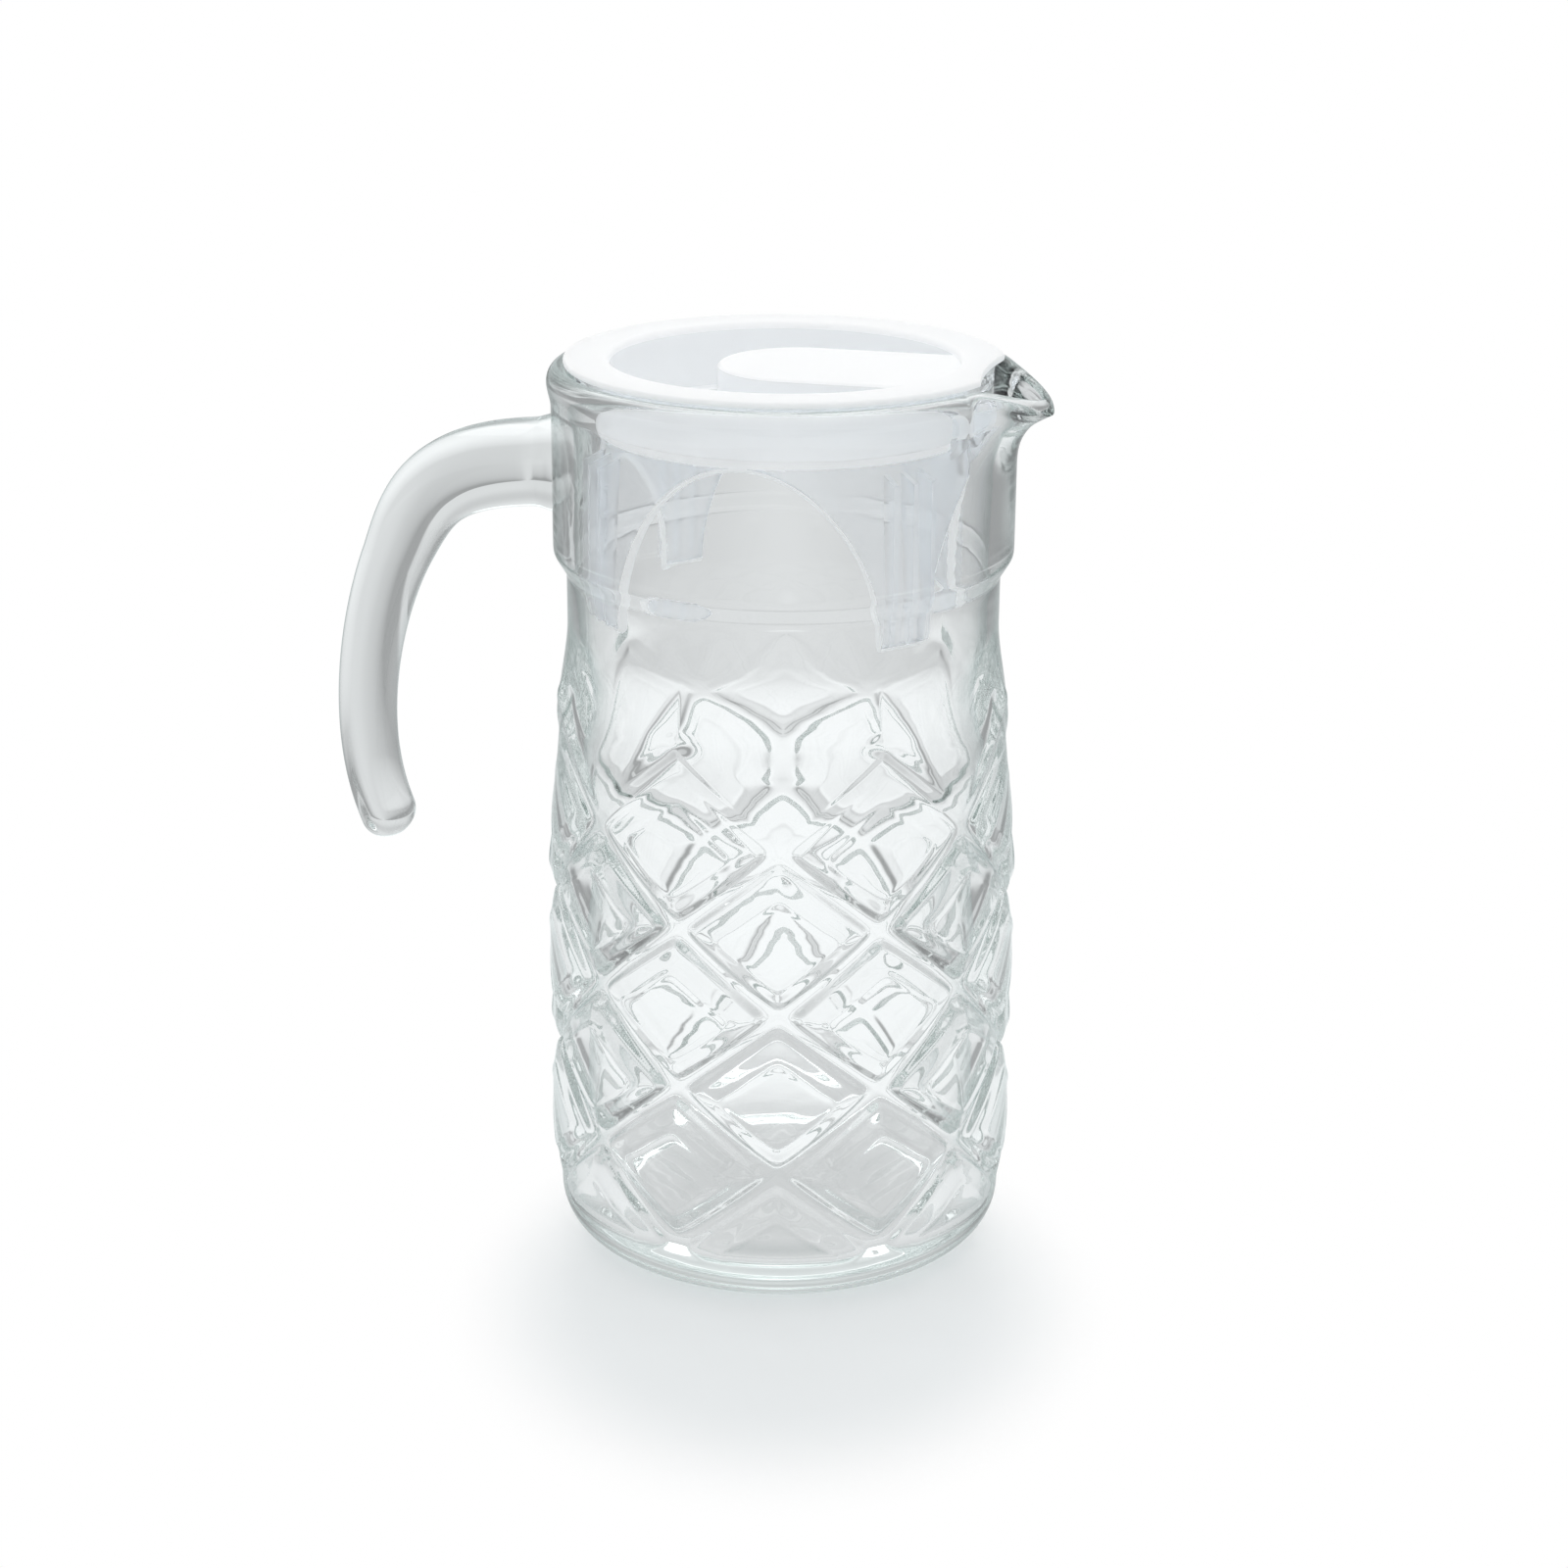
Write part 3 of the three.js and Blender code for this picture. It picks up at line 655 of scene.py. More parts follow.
def handle_mesh(sizes, glass):
    """Rounded section swept along the hook, fitted to the collar's curve at its root."""
    outward, downward = handle_course(sizes, glass)
    weld_radius = glass.collar_radius + sizes.weld_gap
    rings = []
    for step in range(2 * sizes.steps + 1):
        first_half = step < sizes.steps
        part = (step if first_half else step - sizes.steps) / sizes.steps
        place, along = bezier(outward if first_half else downward, part)
        if first_half:
            thickness = blend(sizes.root_thickness, sizes.bend_thickness, part ** 2)
        else:
            thickness = blend(sizes.bend_thickness, sizes.tip_thickness, math.sin(part * math.pi / 2))
        width = blend(sizes.root_width, sizes.tip_width, step / (2 * sizes.steps))
        swell = sizes.root_flare * (1 - soft_step(-place[0] - weld_radius, 0, sizes.flare_length))
        ring = handle_ring(sizes, place, along, thickness + swell, width + swell)
        if -place[0] > weld_radius + sizes.weld_gap:
            rings.append(ring)
        else:
            root = ring
    root[:, 0] = -np.sqrt(weld_radius ** 2 - root[:, 1] ** 2)
    rings.insert(0, root)
    place, along = bezier(downward, 1)
    cap_length = sizes.tip_thickness / 2
    for part in np.arange(1, sizes.cap_steps) / sizes.cap_steps * math.pi / 2:
        middle = place + along * cap_length * math.sin(part)
        thickness = sizes.tip_thickness * math.cos(part)
        width = sizes.tip_width * math.cos(part)
        rings.append(handle_ring(sizes, middle, along, thickness, width))
    root_middle = in_plane(weld_radius, root_height(glass))
    return skin_rings("handle", rings, root_middle, place + along * cap_length)


# Lid

# Rows of facets on the parts of the lid
PAN_ROWS = 6
SKIRT_ROWS = 12
SKIRT_EDGE_ROWS = 5
OUTER_WALL_ROWS = 6
PAN_WALL_ROWS = 8
FLANGE_ROWS = 5
CORNER_ROWS = 4
INNER_ROUND_ROWS = 9
ISLAND_ROUND_ROWS = 7
RIB_CORNER_ROWS = 5
# Where the rows of the pan's floor start and end, in its radius
PAN_START = 0.15
PAN_END = 0.95
# Where the round along the skirt's edge starts and ends, in degrees
SKIRT_EDGE_START = -150
SKIRT_EDGE_END = -30
# How many times finer than an arch the notch's curve and the rib are
NOTCH_FINENESS = 8
RIB_FINENESS = 4
# How far below the pan's floor its white edge reaches, as a share of the edge's round
WHITE_MARGIN = 1 / 5


def arch_edges(sizes, leg_end):
    """Angles round the lid and the height of the skirt's lower edge at each, arches between legs."""
    flange_top = LID_HIGH.z
    arches = (
        (0, sizes.end_arch_half_width, flange_top - sizes.end_arch_drop),
        (math.pi / 2, sizes.side_arch_half_width, flange_top - sizes.side_arch_drop),
        (math.pi, sizes.end_arch_half_width, flange_top - sizes.end_arch_drop),
        (math.pi * 3 / 2, sizes.side_arch_half_width, flange_top - sizes.side_arch_drop),
    )
    turns, heights = [], []
    for index, (middle, half_width, top) in enumerate(arches):
        for part in np.linspace(0, math.pi, sizes.arch_steps + 1):
            turns.append(middle - math.asin(half_width * math.cos(part) / sizes.leg_radius))
            heights.append(leg_end + (top - leg_end) * math.sin(part))
        next_half_width = arches[(index + 1) % len(arches)][1]
        start = turns[-1]
        end = middle + math.pi / 2 - math.asin(next_half_width / sizes.leg_radius)
        for part in np.arange(1, sizes.leg_steps) / sizes.leg_steps:
            turns.append(blend(start, end, part))
            heights.append(leg_end)
    return np.array(turns), np.array(heights)


def rounded_corner(centre, radius, start, end, steps):
    """Points on an arc in the section, as radius and height pairs."""
    return [
        (centre[0] + radius * math.cos(turn), centre[1] + radius * math.sin(turn))
        for turn in np.linspace(math.radians(start), math.radians(end), steps)
    ]


def bowl_mesh(sizes):
    """Flange, pan wall, pan floor and skirt with its arches, as one closed skin."""
    flange_top = LID_HIGH.z
    flange_bottom = flange_top - sizes.flange_thickness
    leg_end = LID_LOW.z
    floor_top = flange_top - sizes.pan_depth
    floor_bottom = floor_top - sizes.floor_thickness
    pan_radius = sizes.skirt_radius - sizes.wall
    turns, edges = arch_edges(sizes, leg_end)
    soft = sizes.edge_round
    tip = sizes.wall / 2

    def skirt_out(height):
        down = np.clip((floor_bottom - height) / (floor_bottom - leg_end), 0, 1)
        return blend(sizes.skirt_radius, sizes.leg_radius, down)

    rows = []

    def level(radius, height):
        rows.append((np.full_like(turns, radius), np.full_like(turns, height)))

    for radius in np.linspace(PAN_START, PAN_END, PAN_ROWS) * (pan_radius - soft):
        level(radius, floor_bottom)
    for part in np.linspace(0, 1, SKIRT_ROWS):
        height = blend(floor_bottom, edges + tip, part)
        rows.append((skirt_out(height) - sizes.wall, height))
    for turn in np.radians(np.linspace(SKIRT_EDGE_START, SKIRT_EDGE_END, SKIRT_EDGE_ROWS)):
        height = edges + tip + tip * math.sin(turn)
        rows.append((skirt_out(edges) - tip + tip * math.cos(turn), height))
    for part in np.linspace(1, 0, SKIRT_ROWS):
        height = blend(floor_bottom, edges + tip, part)
        rows.append((skirt_out(height), height))
    for height in np.linspace(floor_top + soft, flange_bottom - soft, OUTER_WALL_ROWS):
        level(sizes.skirt_radius, height)
    under_flange = (sizes.skirt_radius + soft, flange_bottom - soft)
    for radius, height in rounded_corner(under_flange, soft, 180, 90, CORNER_ROWS)[1:]:
        level(radius, height)
    for radius in np.linspace(under_flange[0], sizes.flange_radius - soft, FLANGE_ROWS)[1:-1]:
        level(radius, flange_bottom)
    lower_edge = (sizes.flange_radius - soft, flange_bottom + soft)
    upper_edge = (sizes.flange_radius - soft, flange_top - soft)
    inner_round = sizes.flange_thickness
    pan_edge = (pan_radius + inner_round, flange_top - inner_round)
    rounds = (
        rounded_corner(lower_edge, soft, -90, 0, CORNER_ROWS)
        + rounded_corner(upper_edge, soft, 0, 90, CORNER_ROWS)
        + rounded_corner(pan_edge, inner_round, 90, 180, INNER_ROUND_ROWS)
    )
    for radius, height in rounds:
        level(radius, height)
    for height in np.linspace(flange_top - inner_round, floor_top + soft, PAN_WALL_ROWS)[1:-1]:
        level(pan_radius, height)
    floor_edge = (pan_radius - soft, floor_top + soft)
    for radius, height in rounded_corner(floor_edge, soft, 0, -90, CORNER_ROWS):
        level(radius, height)
    for radius in np.linspace(PAN_END, PAN_START, PAN_ROWS) * (pan_radius - soft):
        level(radius, floor_top)
    rings = [np.column_stack((r * np.cos(turns), r * np.sin(turns), z)) for r, z in rows]
    return skin_rings("bowl", rings, (0, 0, floor_bottom), (0, 0, floor_top))


def island_outline(sizes, half_width, edge_radius, steps):
    """Outline of the island: round towards the handle, ended by a circle towards the spout."""
    outline = []
    for turn in np.linspace(math.pi / 2, math.pi * 3 / 2, steps):
        along = sizes.island_end_centre + half_width * math.cos(turn)
        outline.append((along, half_width * math.sin(turn)))
    limit = math.asin(half_width / edge_radius)
    for turn in np.linspace(-limit, limit, steps):
        outline.append((edge_radius * math.cos(turn), edge_radius * math.sin(turn)))
    return outline


def fin_meshes(sizes):
    """Upright fins on the legs."""
    leg_end = LID_LOW.z
    bottom = leg_end + sizes.fin_margin
    top = LID_HIGH.z - sizes.pan_depth - sizes.floor_thickness - sizes.fin_margin
    low = math.asin(sizes.end_arch_half_width / sizes.leg_radius)
    high = math.pi / 2 - math.asin(sizes.side_arch_half_width / sizes.leg_radius)
    edge = math.asin(sizes.fin_thickness / sizes.leg_radius)
    outer = sizes.leg_radius + sizes.fin_out
    side = [
        (sizes.leg_radius - sizes.wall / 2, bottom),
        (outer - sizes.edge_round, bottom),
        (outer, bottom + sizes.fin_margin),
        (outer, top - sizes.fin_margin),
        (sizes.skirt_radius, top),
        (sizes.skirt_radius - sizes.wall / 2, top),
    ]
    fins = []
    for quarter_x, quarter_y in ((1, 1), (-1, 1), (-1, -1), (1, -1)):
        for index in range(sizes.fin_count):
            turn = blend(low + edge, high - edge, index / max(sizes.fin_count - 1, 1))
            facing = math.atan2(quarter_y * math.sin(turn), quarter_x * math.cos(turn))
            half = sizes.fin_thickness / 2
            fin = prism("fin", [side, side], (-half, half))
            fin.transform(Matrix.Rotation(facing, 4, "Z") @ Matrix.Rotation(math.pi / 2, 4, "X"))
            fins.append(fin)
    return fins


def lid_mesh(sizes):
    """Lid: the bowl with its hollow island, pouring tunnel, notch and fins."""
    flange_top = LID_HIGH.z
    flange_bottom = flange_top - sizes.flange_thickness
    floor_bottom = flange_top - sizes.pan_depth - sizes.floor_thickness
    floor_middle = floor_bottom + sizes.floor_thickness / 2
    island_top = flange_top - sizes.island_sink
    pan_radius = sizes.skirt_radius - sizes.wall
    wall_middle = sizes.skirt_radius - sizes.wall / 2
    ceiling = island_top - sizes.wall
    under = floor_bottom - sizes.wall
    steps = sizes.arch_steps
    outlines = [island_outline(sizes, sizes.island_half_width, wall_middle, steps)]
    heights = [floor_middle]
    for turn in np.linspace(0, math.pi / 2, ISLAND_ROUND_ROWS):
        inset = sizes.island_round * (1 - math.cos(turn))
        outlines.append(island_outline(sizes, sizes.island_half_width - inset, wall_middle, steps))
        heights.append(island_top - sizes.island_round * (1 - math.sin(turn)))
    island = prism("island", outlines, heights)
    hollow_outline = island_outline(sizes, sizes.island_half_width - sizes.wall, pan_radius, steps)
    hollow = prism("hollow", [hollow_outline] * 2, (floor_bottom + sizes.floor_thickness, ceiling))
    inner = sizes.island_end_centre - sizes.pour_inner_end
    reach = sizes.flange_radius + sizes.notch_depth
    half = sizes.pour_half_width
    tunnel_outline = [(inner, -half), (reach, -half), (reach, half), (inner, half)]
    tunnel = prism("tunnel", [tunnel_outline] * 2, (under, ceiling))
    notch_centre = sizes.flange_radius - sizes.notch_depth + sizes.notch_radius
    notch_outline = disc_outline(notch_centre, sizes.notch_radius, steps * NOTCH_FINENESS)
    notch = prism("notch", [notch_outline] * 2, (flange_bottom - sizes.wall, flange_top + sizes.wall))
    lid = cut_or_join(bowl_mesh(sizes), island, "UNION")
    for cutter in (hollow, tunnel, notch):
        lid = cut_or_join(lid, cutter, "DIFFERENCE")
    for fin in fin_meshes(sizes):
        lid = cut_or_join(lid, fin, "UNION")
    return lid


def skirt_edge(sizes, turn):
    """Height of the skirt's lower edge in a direction."""
    leg_end = LID_LOW.z
    along_x = abs(math.cos(turn)) * sizes.leg_radius
    along_y = abs(math.sin(turn)) * sizes.leg_radius
    if along_y < sizes.end_arch_half_width:
        rise = LID_HIGH.z - sizes.end_arch_drop - leg_end
        return leg_end + rise * math.sqrt(1 - (along_y / sizes.end_arch_half_width) ** 2)
    if along_x < sizes.side_arch_half_width:
        rise = LID_HIGH.z - sizes.side_arch_drop - leg_end
        return leg_end + rise * math.sqrt(1 - (along_x / sizes.side_arch_half_width) ** 2)
    return leg_end


def is_white(sizes, place):
    """Whether the lid is thick enough at a place to look white.

    It is on the top, along the floor's edge and along the skirt's edge.
    """
    out = math.hypot(place.x, place.y)
    floor_top = LID_HIGH.z - sizes.pan_depth
    if place.z > LID_HIGH.z - sizes.island_sink - sizes.edge_round:
        return True
    if out < sizes.skirt_radius - 2 * sizes.wall:
        return False
    floor_low = floor_top - sizes.floor_thickness - sizes.edge_round * WHITE_MARGIN
    if floor_low < place.z < floor_top + sizes.edge_round:
        return True
    return place.z < skirt_edge(sizes, math.atan2(place.y, place.x)) + sizes.wall / 2


def rib_mesh(sizes):
    """Plain round rib under the flange."""
    soft = sizes.edge_round
    outer = RIB_HIGH.x
    inner = outer - sizes.wall
    low = RIB_LOW.z
    high = RIB_HIGH.z
    corners = (
        (outer - soft, low + soft, -90),
        (outer - soft, high - soft, 0),
        (inner + soft, high - soft, 90),
        (inner + soft, low + soft, 180),
    )
    section = []
    for radius, height, start in corners:
        section += rounded_corner((radius, height), soft, start, start + 90, RIB_CORNER_ROWS)
    side_count = sizes.arch_steps * RIB_FINENESS
    turns = np.arange(side_count) / side_count * 2 * math.pi
    rings = [
        np.column_stack((r * np.cos(turns), r * np.sin(turns), np.full_like(turns, z)))
        for r, z in section
    ]
    return skin_rings("lid_rib", rings, closed_loop=True)


# Materials

# Noise in the glass and the plastic, with scales counted per metre
SMEAR_SCALE = 90
SMEAR_DETAIL = 3
SMEAR_ROUGHNESS = 0.02
UNEVEN_SCALE = 55
UNEVEN_DETAIL = 2
UNEVEN_DEPTH = 0.4 * MM
GRAIN_SCALE = 700
GRAIN_DETAIL = 4
GRAIN_ROUGHNESS = 0.05
GRAIN_STRENGTH = 0.02
GRAIN_DEPTH = 0.1 * MM
# Where the painted edge shade starts and where it is full, from 0 face on to 1 edge on
EDGE_START = 0.5
EDGE_END = 0.97
# Floor in the glass: pairs of metres aside from the jug's axis and a share of the backdrop's grey, which
# paints shade at the sides
FLOOR_ASIDE = ((0, 1), (0.06, 1), (0.13, 0.86), (0.25, 0.7), (0.4, 0.35), (0.8, 0.35), (1.2, 1))
# Pairs of a distance, in half sizes of a pool or of the foot, and the painted light there: bright in the
# painted pools, darker in the painted shadow under the foot
POOL_FADE = ((0, 1.06), (0.3, 1.05), (0.6, 0.97), (0.9, 0.86), (1.2, 0.76), (1.5, 0.6), (1.8, 0.3))
PAINTED_FOOT_SHADOW = ((0, 0.66), (0.75, 0.66), (1.25, 1), (2, 1))


def fresh_material(name):
    """Material with an empty node tree, and that tree."""
    material = bpy.data.materials.new(name)
    material.use_nodes = True
    material.node_tree.nodes.clear()
    return material, material.node_tree


def add_node(tree, kind, inputs, **settings):
    """Node with its settings and inputs, each input a plain value or the output of another node."""
    node = tree.nodes.new(kind)
    for name, value in settings.items():
        setattr(node, name, value)
    for socket, value in inputs.items():
        if isinstance(value, bpy.types.NodeSocket):
            tree.links.new(value, node.inputs[socket])
        else:
            node.inputs[socket].default_value = value
    return node


def combined(tree, operation, *values):
    """Result of a calculation with one or two values."""
    node = add_node(tree, "ShaderNodeMath", dict(enumerate(values)), operation=operation)
    return node.outputs["Value"]


def combined_vectors(tree, operation, *vectors):
    """Node that calculates with one or two vectors."""
    return add_node(tree, "ShaderNodeVectorMath", dict(enumerate(vectors)), operation=operation)


def chosen(tree, flag, plain, special):
    """Shader that is the special one where the flag is 1."""
    inputs = {"Fac": flag, 1: plain, 2: special}
    return add_node(tree, "ShaderNodeMixShader", inputs).outputs["Shader"]


def noise_field(tree, scale, detail):
    """Noise in the object's own coordinates."""
    place = add_node(tree, "ShaderNodeTexCoord", {})
    inputs = {"Vector": place.outputs["Object"], "Scale": scale, "Detail": detail}
    return add_node(tree, "ShaderNodeTexNoise", inputs).outputs["Fac"]


def mapped(tree, value, low, high):
    """Noise value spread over a range."""
    inputs = {"Value": value, "To Min": low, "To Max": high}
    return add_node(tree, "ShaderNodeMapRange", inputs).outputs["Result"]


def bumped(tree, value, strength, depth):
    """Normal from a height field."""
    inputs = {"Height": value, "Strength": strength, "Distance": depth}
    return add_node(tree, "ShaderNodeBump", inputs).outputs["Normal"]


def grey_ramp(tree, value, stops):
    """Grey that follows a value, from pairs of a value and a grey."""
    low = stops[0][0]
    high = stops[-1][0]
    inputs = {"Value": value, "From Min": low, "From Max": high}
    spread = add_node(tree, "ShaderNodeMapRange", inputs)
    ramp = add_node(tree, "ShaderNodeValToRGB", {"Fac": spread.outputs["Result"]})
    ramp.color_ramp.interpolation = "B_SPLINE"
    ready = len(ramp.color_ramp.elements)
    for index, (place, grey) in enumerate(stops):
        position = (place - low) / (high - low)
        if index < ready:
            stop = ramp.color_ramp.elements[index]
            stop.position = position
        else:
            stop = ramp.color_ramp.elements.new(position)
        stop.color = (grey, grey, grey, 1)
    return ramp.outputs["Color"]


def glass_material(name, finishes, unevenness):
    """Clear pressed glass: a faint tint in its depth, painted shade where it is seen edge on, and a
    slightly uneven skin.
    """
    material, tree = fresh_material(name)
    edge_on = add_node(tree, "ShaderNodeLayerWeight", {})
    # Painted shade: the base colour darkens from white to the edge shade as the glass turns edge on
    tint = add_node(tree, "ShaderNodeValToRGB", {"Fac": edge_on.outputs["Facing"]})
    tint.color_ramp.interpolation = "EASE"
    tint.color_ramp.elements[0].position = EDGE_START
    tint.color_ramp.elements[0].color = (1, 1, 1, 1)
    tint.color_ramp.elements[1].position = EDGE_END
    tint.color_ramp.elements[1].color = (*finishes.painted_edge_shade, 1)
    smears = noise_field(tree, SMEAR_SCALE, SMEAR_DETAIL)
    hollows = noise_field(tree, UNEVEN_SCALE, UNEVEN_DETAIL)
    skin = add_node(tree, "ShaderNodeBsdfPrincipled", {
        "Base Color": tint.outputs["Color"],
        "Transmission Weight": 1,
        "IOR": finishes.glass_ior,
        "Roughness": mapped(tree, smears, 0, SMEAR_ROUGHNESS),
        "Normal": bumped(tree, hollows, unevenness, UNEVEN_DEPTH),
    })
    depth = add_node(tree, "ShaderNodeVolumeAbsorption", {
        "Color": (*finishes.glass_tint, 1),
        "Density": finishes.glass_density,
    })
    outputs = {"Surface": skin.outputs["BSDF"], "Volume": depth.outputs["Volume"]}
    add_node(tree, "ShaderNodeOutputMaterial", outputs)
    return material


def plastic_material(name, finishes, clearness, roughness):
    """Milky moulded plastic with a satin skin, in which light spreads."""
    material, tree = fresh_material(name)
    grain = noise_field(tree, GRAIN_SCALE, GRAIN_DETAIL)
    skin = add_node(tree, "ShaderNodeBsdfPrincipled", {
        "Base Color": (*finishes.plastic, 1),
        "Transmission Weight": clearness,
        "IOR": finishes.plastic_ior,
        "Subsurface Weight": 1,
        "Subsurface Radius": (1, 1, 1),
        "Subsurface Scale": finishes.plastic_spread,
        "Roughness": mapped(tree, grain, roughness - GRAIN_ROUGHNESS, roughness + GRAIN_ROUGHNESS),
        "Normal": bumped(tree, grain, GRAIN_STRENGTH, GRAIN_DEPTH),
    })
    add_node(tree, "ShaderNodeOutputMaterial", {"Surface": skin.outputs["BSDF"]})
    return material


# Studio

SENSOR_WIDTH = 36
FLOOR_SIDES = 96


def oval_distance(tree, place, centre, half_sizes):
    """Distance from an oval's centre, 1 on the oval."""
    offset = combined_vectors(tree, "SUBTRACT", place, (*centre, 0))
    scaled = combined_vectors(tree, "DIVIDE", offset.outputs["Vector"], (*half_sizes, 1))
    return combined_vectors(tree, "LENGTH", scaled.outputs["Vector"]).outputs["Value"]


def seen_by_glass(tree):
    """Flag that is 1 for light that glass alone sends to the camera."""
    path = add_node(tree, "ShaderNodeLightPath", {})
    bent = combined(tree, "MAXIMUM", path.outputs["Is Glossy Ray"], path.outputs["Is Transmission Ray"])
    clear = combined(tree, "LESS_THAN", path.outputs["Diffuse Depth"], 1)
    return combined(tree, "MULTIPLY", bent, clear)


def three_ways(tree, to_camera, to_glass, to_others):
    """Shader with a look for the camera, one for what glass shows and one that lights the jug."""
    path = add_node(tree, "ShaderNodeLightPath", {})
    unseen = chosen(tree, seen_by_glass(tree), to_others, to_glass)
    return chosen(tree, path.outputs["Is Camera Ray"], unseen, to_camera)


def floor_material(studio):
    """Pale floor with a soft shadow before the jug, partly cast by the lamp and partly painted as a grey
    oval, and white further out.

    In the glass it glows with painted light: a pool of light behind the jug and one before it, painted
    shade at the sides and a painted shadow under the foot.
    """
    material, tree = fresh_material("pale_floor")
    place = add_node(tree, "ShaderNodeTexCoord", {}).outputs["Object"]
    lit = add_node(tree, "ShaderNodeBsdfDiffuse", {"Color": (*studio.floor_colour, 1)})
    white = add_node(tree, "ShaderNodeEmission", {"Color": (1, 1, 1, 1)})
    # Painted shadow: in an oval before the jug the grey lit floor shows, with the lamp's cast shadow in
    # it, and it fades to white outside
    shadow_centre = (0, -studio.shadow_shift)
    shadow_size = (studio.shadow_half_width, studio.shadow_half_depth)
    fade_inputs = {
        "Value": oval_distance(tree, place, shadow_centre, shadow_size),
        "From Min": studio.shadow_core,
        "From Max": studio.shadow_end,
        "To Min": studio.shadow_white,
        "To Max": 1,
    }
    fade = add_node(tree, "ShaderNodeMapRange", fade_inputs, interpolation_type="SMOOTHSTEP")
    to_camera = chosen(tree, fade.outputs["Result"], lit.outputs["BSDF"], white.outputs["Emission"])
    parts = add_node(tree, "ShaderNodeSeparateXYZ", {"Vector": place})
    aside = [(metres, part * studio.backdrop_grey) for metres, part in FLOOR_ASIDE]
    backdrop = grey_ramp(tree, combined(tree, "ABSOLUTE", parts.outputs["X"]), aside)
    both_ways = combined_vectors(tree, "ABSOLUTE", place).outputs["Vector"]
    pool_size = (studio.pool_half_width, studio.pool_half_depth)
    pool = grey_ramp(tree, oval_distance(tree, both_ways, (0, studio.pool_shift), pool_size), POOL_FADE)
    foot_size = (GLASS_HIGH.y, GLASS_HIGH.y)
    # Painted shadow under the foot, as the glass shows the floor
    under = grey_ramp(tree, oval_distance(tree, place, (0, 0), foot_size), PAINTED_FOOT_SHADOW)
    brighter = combined(tree, "MAXIMUM", backdrop, pool)
    # Painted light: for glass rays the floor glows with the painted pools, the painted side shade and
    # the painted shadow under the foot
    to_glass = add_node(tree, "ShaderNodeEmission", {
        "Color": (*studio.backdrop_tint, 1),
        "Strength": combined(tree, "MULTIPLY", brighter, under),
    })
    shown = three_ways(tree, to_camera, to_glass.outputs["Emission"], lit.outputs["BSDF"])
    add_node(tree, "ShaderNodeOutputMaterial", {"Surface": shown})
    return material


def pale_room(studio):
    """White room to the camera, even light on the jug, and dark cards at both sides in the glass."""
    world = bpy.data.worlds.new("pale_room")
    world.use_nodes = True
    tree = world.node_tree
    tree.nodes.clear()
    grey = studio.backdrop_grey
    band = grey * studio.band_share
    ceiling = studio.ceiling_grey
    card = studio.card_grey
    # Pairs of a direction's height and the light from there
    low_heights = ((-1, grey), (0, grey), (0.1, grey))
    rising = (*low_heights, (0.2, band), (0.35, band), (0.55, ceiling), (1, ceiling))
    # Pairs of how far aside a direction points and a share of that light
    sideways = ((0, 1), (0.5, 1), (0.7, 0.7), (0.8, card), (0.92, card), (1, 0.9))
    place = add_node(tree, "ShaderNodeTexCoord", {}).outputs["Generated"]
    parts = add_node(tree, "ShaderNodeSeparateXYZ", {"Vector": place})
    right = (math.cos(studio.camera_azimuth), math.sin(studio.camera_azimuth), 0)
    aside = combined_vectors(tree, "DOT_PRODUCT", place, right).outputs["Value"]
    height_light = grey_ramp(tree, parts.outputs["Z"], rising)
    side_light = grey_ramp(tree, combined(tree, "ABSOLUTE", aside), sideways)
    even = add_node(tree, "ShaderNodeBackground", {
        "Color": (1, 1, 1, 1),
        "Strength": studio.room_light,
    })
    white = add_node(tree, "ShaderNodeBackground", {"Color": (1, 1, 1, 1)})
    glass = add_node(tree, "ShaderNodeBackground", {
        "Color": (*studio.backdrop_tint, 1),
        "Strength": combined(tree, "MULTIPLY", height_light, side_light),
    })
    looks = [node.outputs["Background"] for node in (white, glass, even)]
    add_node(tree, "ShaderNodeOutputWorld", {"Surface": three_ways(tree, *looks)})
    return world


def add_camera(scene, studio, camera_side):
    """Camera at the photograph's angle."""
    lens = bpy.data.cameras.new("photo_camera")
    lens.lens = studio.lens
    lens.sensor_width = SENSOR_WIDTH
    camera = link_object("photo_camera", lens)
    camera.location = camera_side * studio.camera_distance + Vector((0, 0, studio.camera_height))
    facing = Matrix.Rotation(studio.camera_azimuth - studio.camera_yaw, 4, "Z")
    facing @= Matrix.Rotation(math.pi / 2 - studio.camera_pitch, 4, "X")
    facing @= Matrix.Rotation(studio.camera_roll, 4, "Z")
    camera.rotation_euler = facing.to_euler()
    scene.camera = camera


def add_floor(studio):
    """Round pale floor, turned with the camera."""
    edge = [(x, y, 0) for x, y in disc_outline(0, studio.floor_radius, FLOOR_SIDES)]
    mesh = new_mesh("floor", edge, [tuple(range(FLOOR_SIDES))])
    mesh.materials.append(floor_material(studio))
    floor = link_object("floor", mesh)
    floor.rotation_euler.z = studio.camera_azimuth


def add_lamp(studio, camera_side):
    """Soft lamp that hangs over the jug and behind it, and points at its foot."""
    lamp = bpy.data.lights.new("soft_lamp", "AREA")
    lamp.energy = studio.lamp_power
    lamp.size = studio.lamp_size
    hung = link_object("soft_lamp", lamp)
    hung.location = -camera_side * studio.lamp_shift + Vector((0, 0, studio.lamp_height))
    hung.rotation_euler = (-hung.location).to_track_quat("-Z", "Y").to_euler()


# Operators

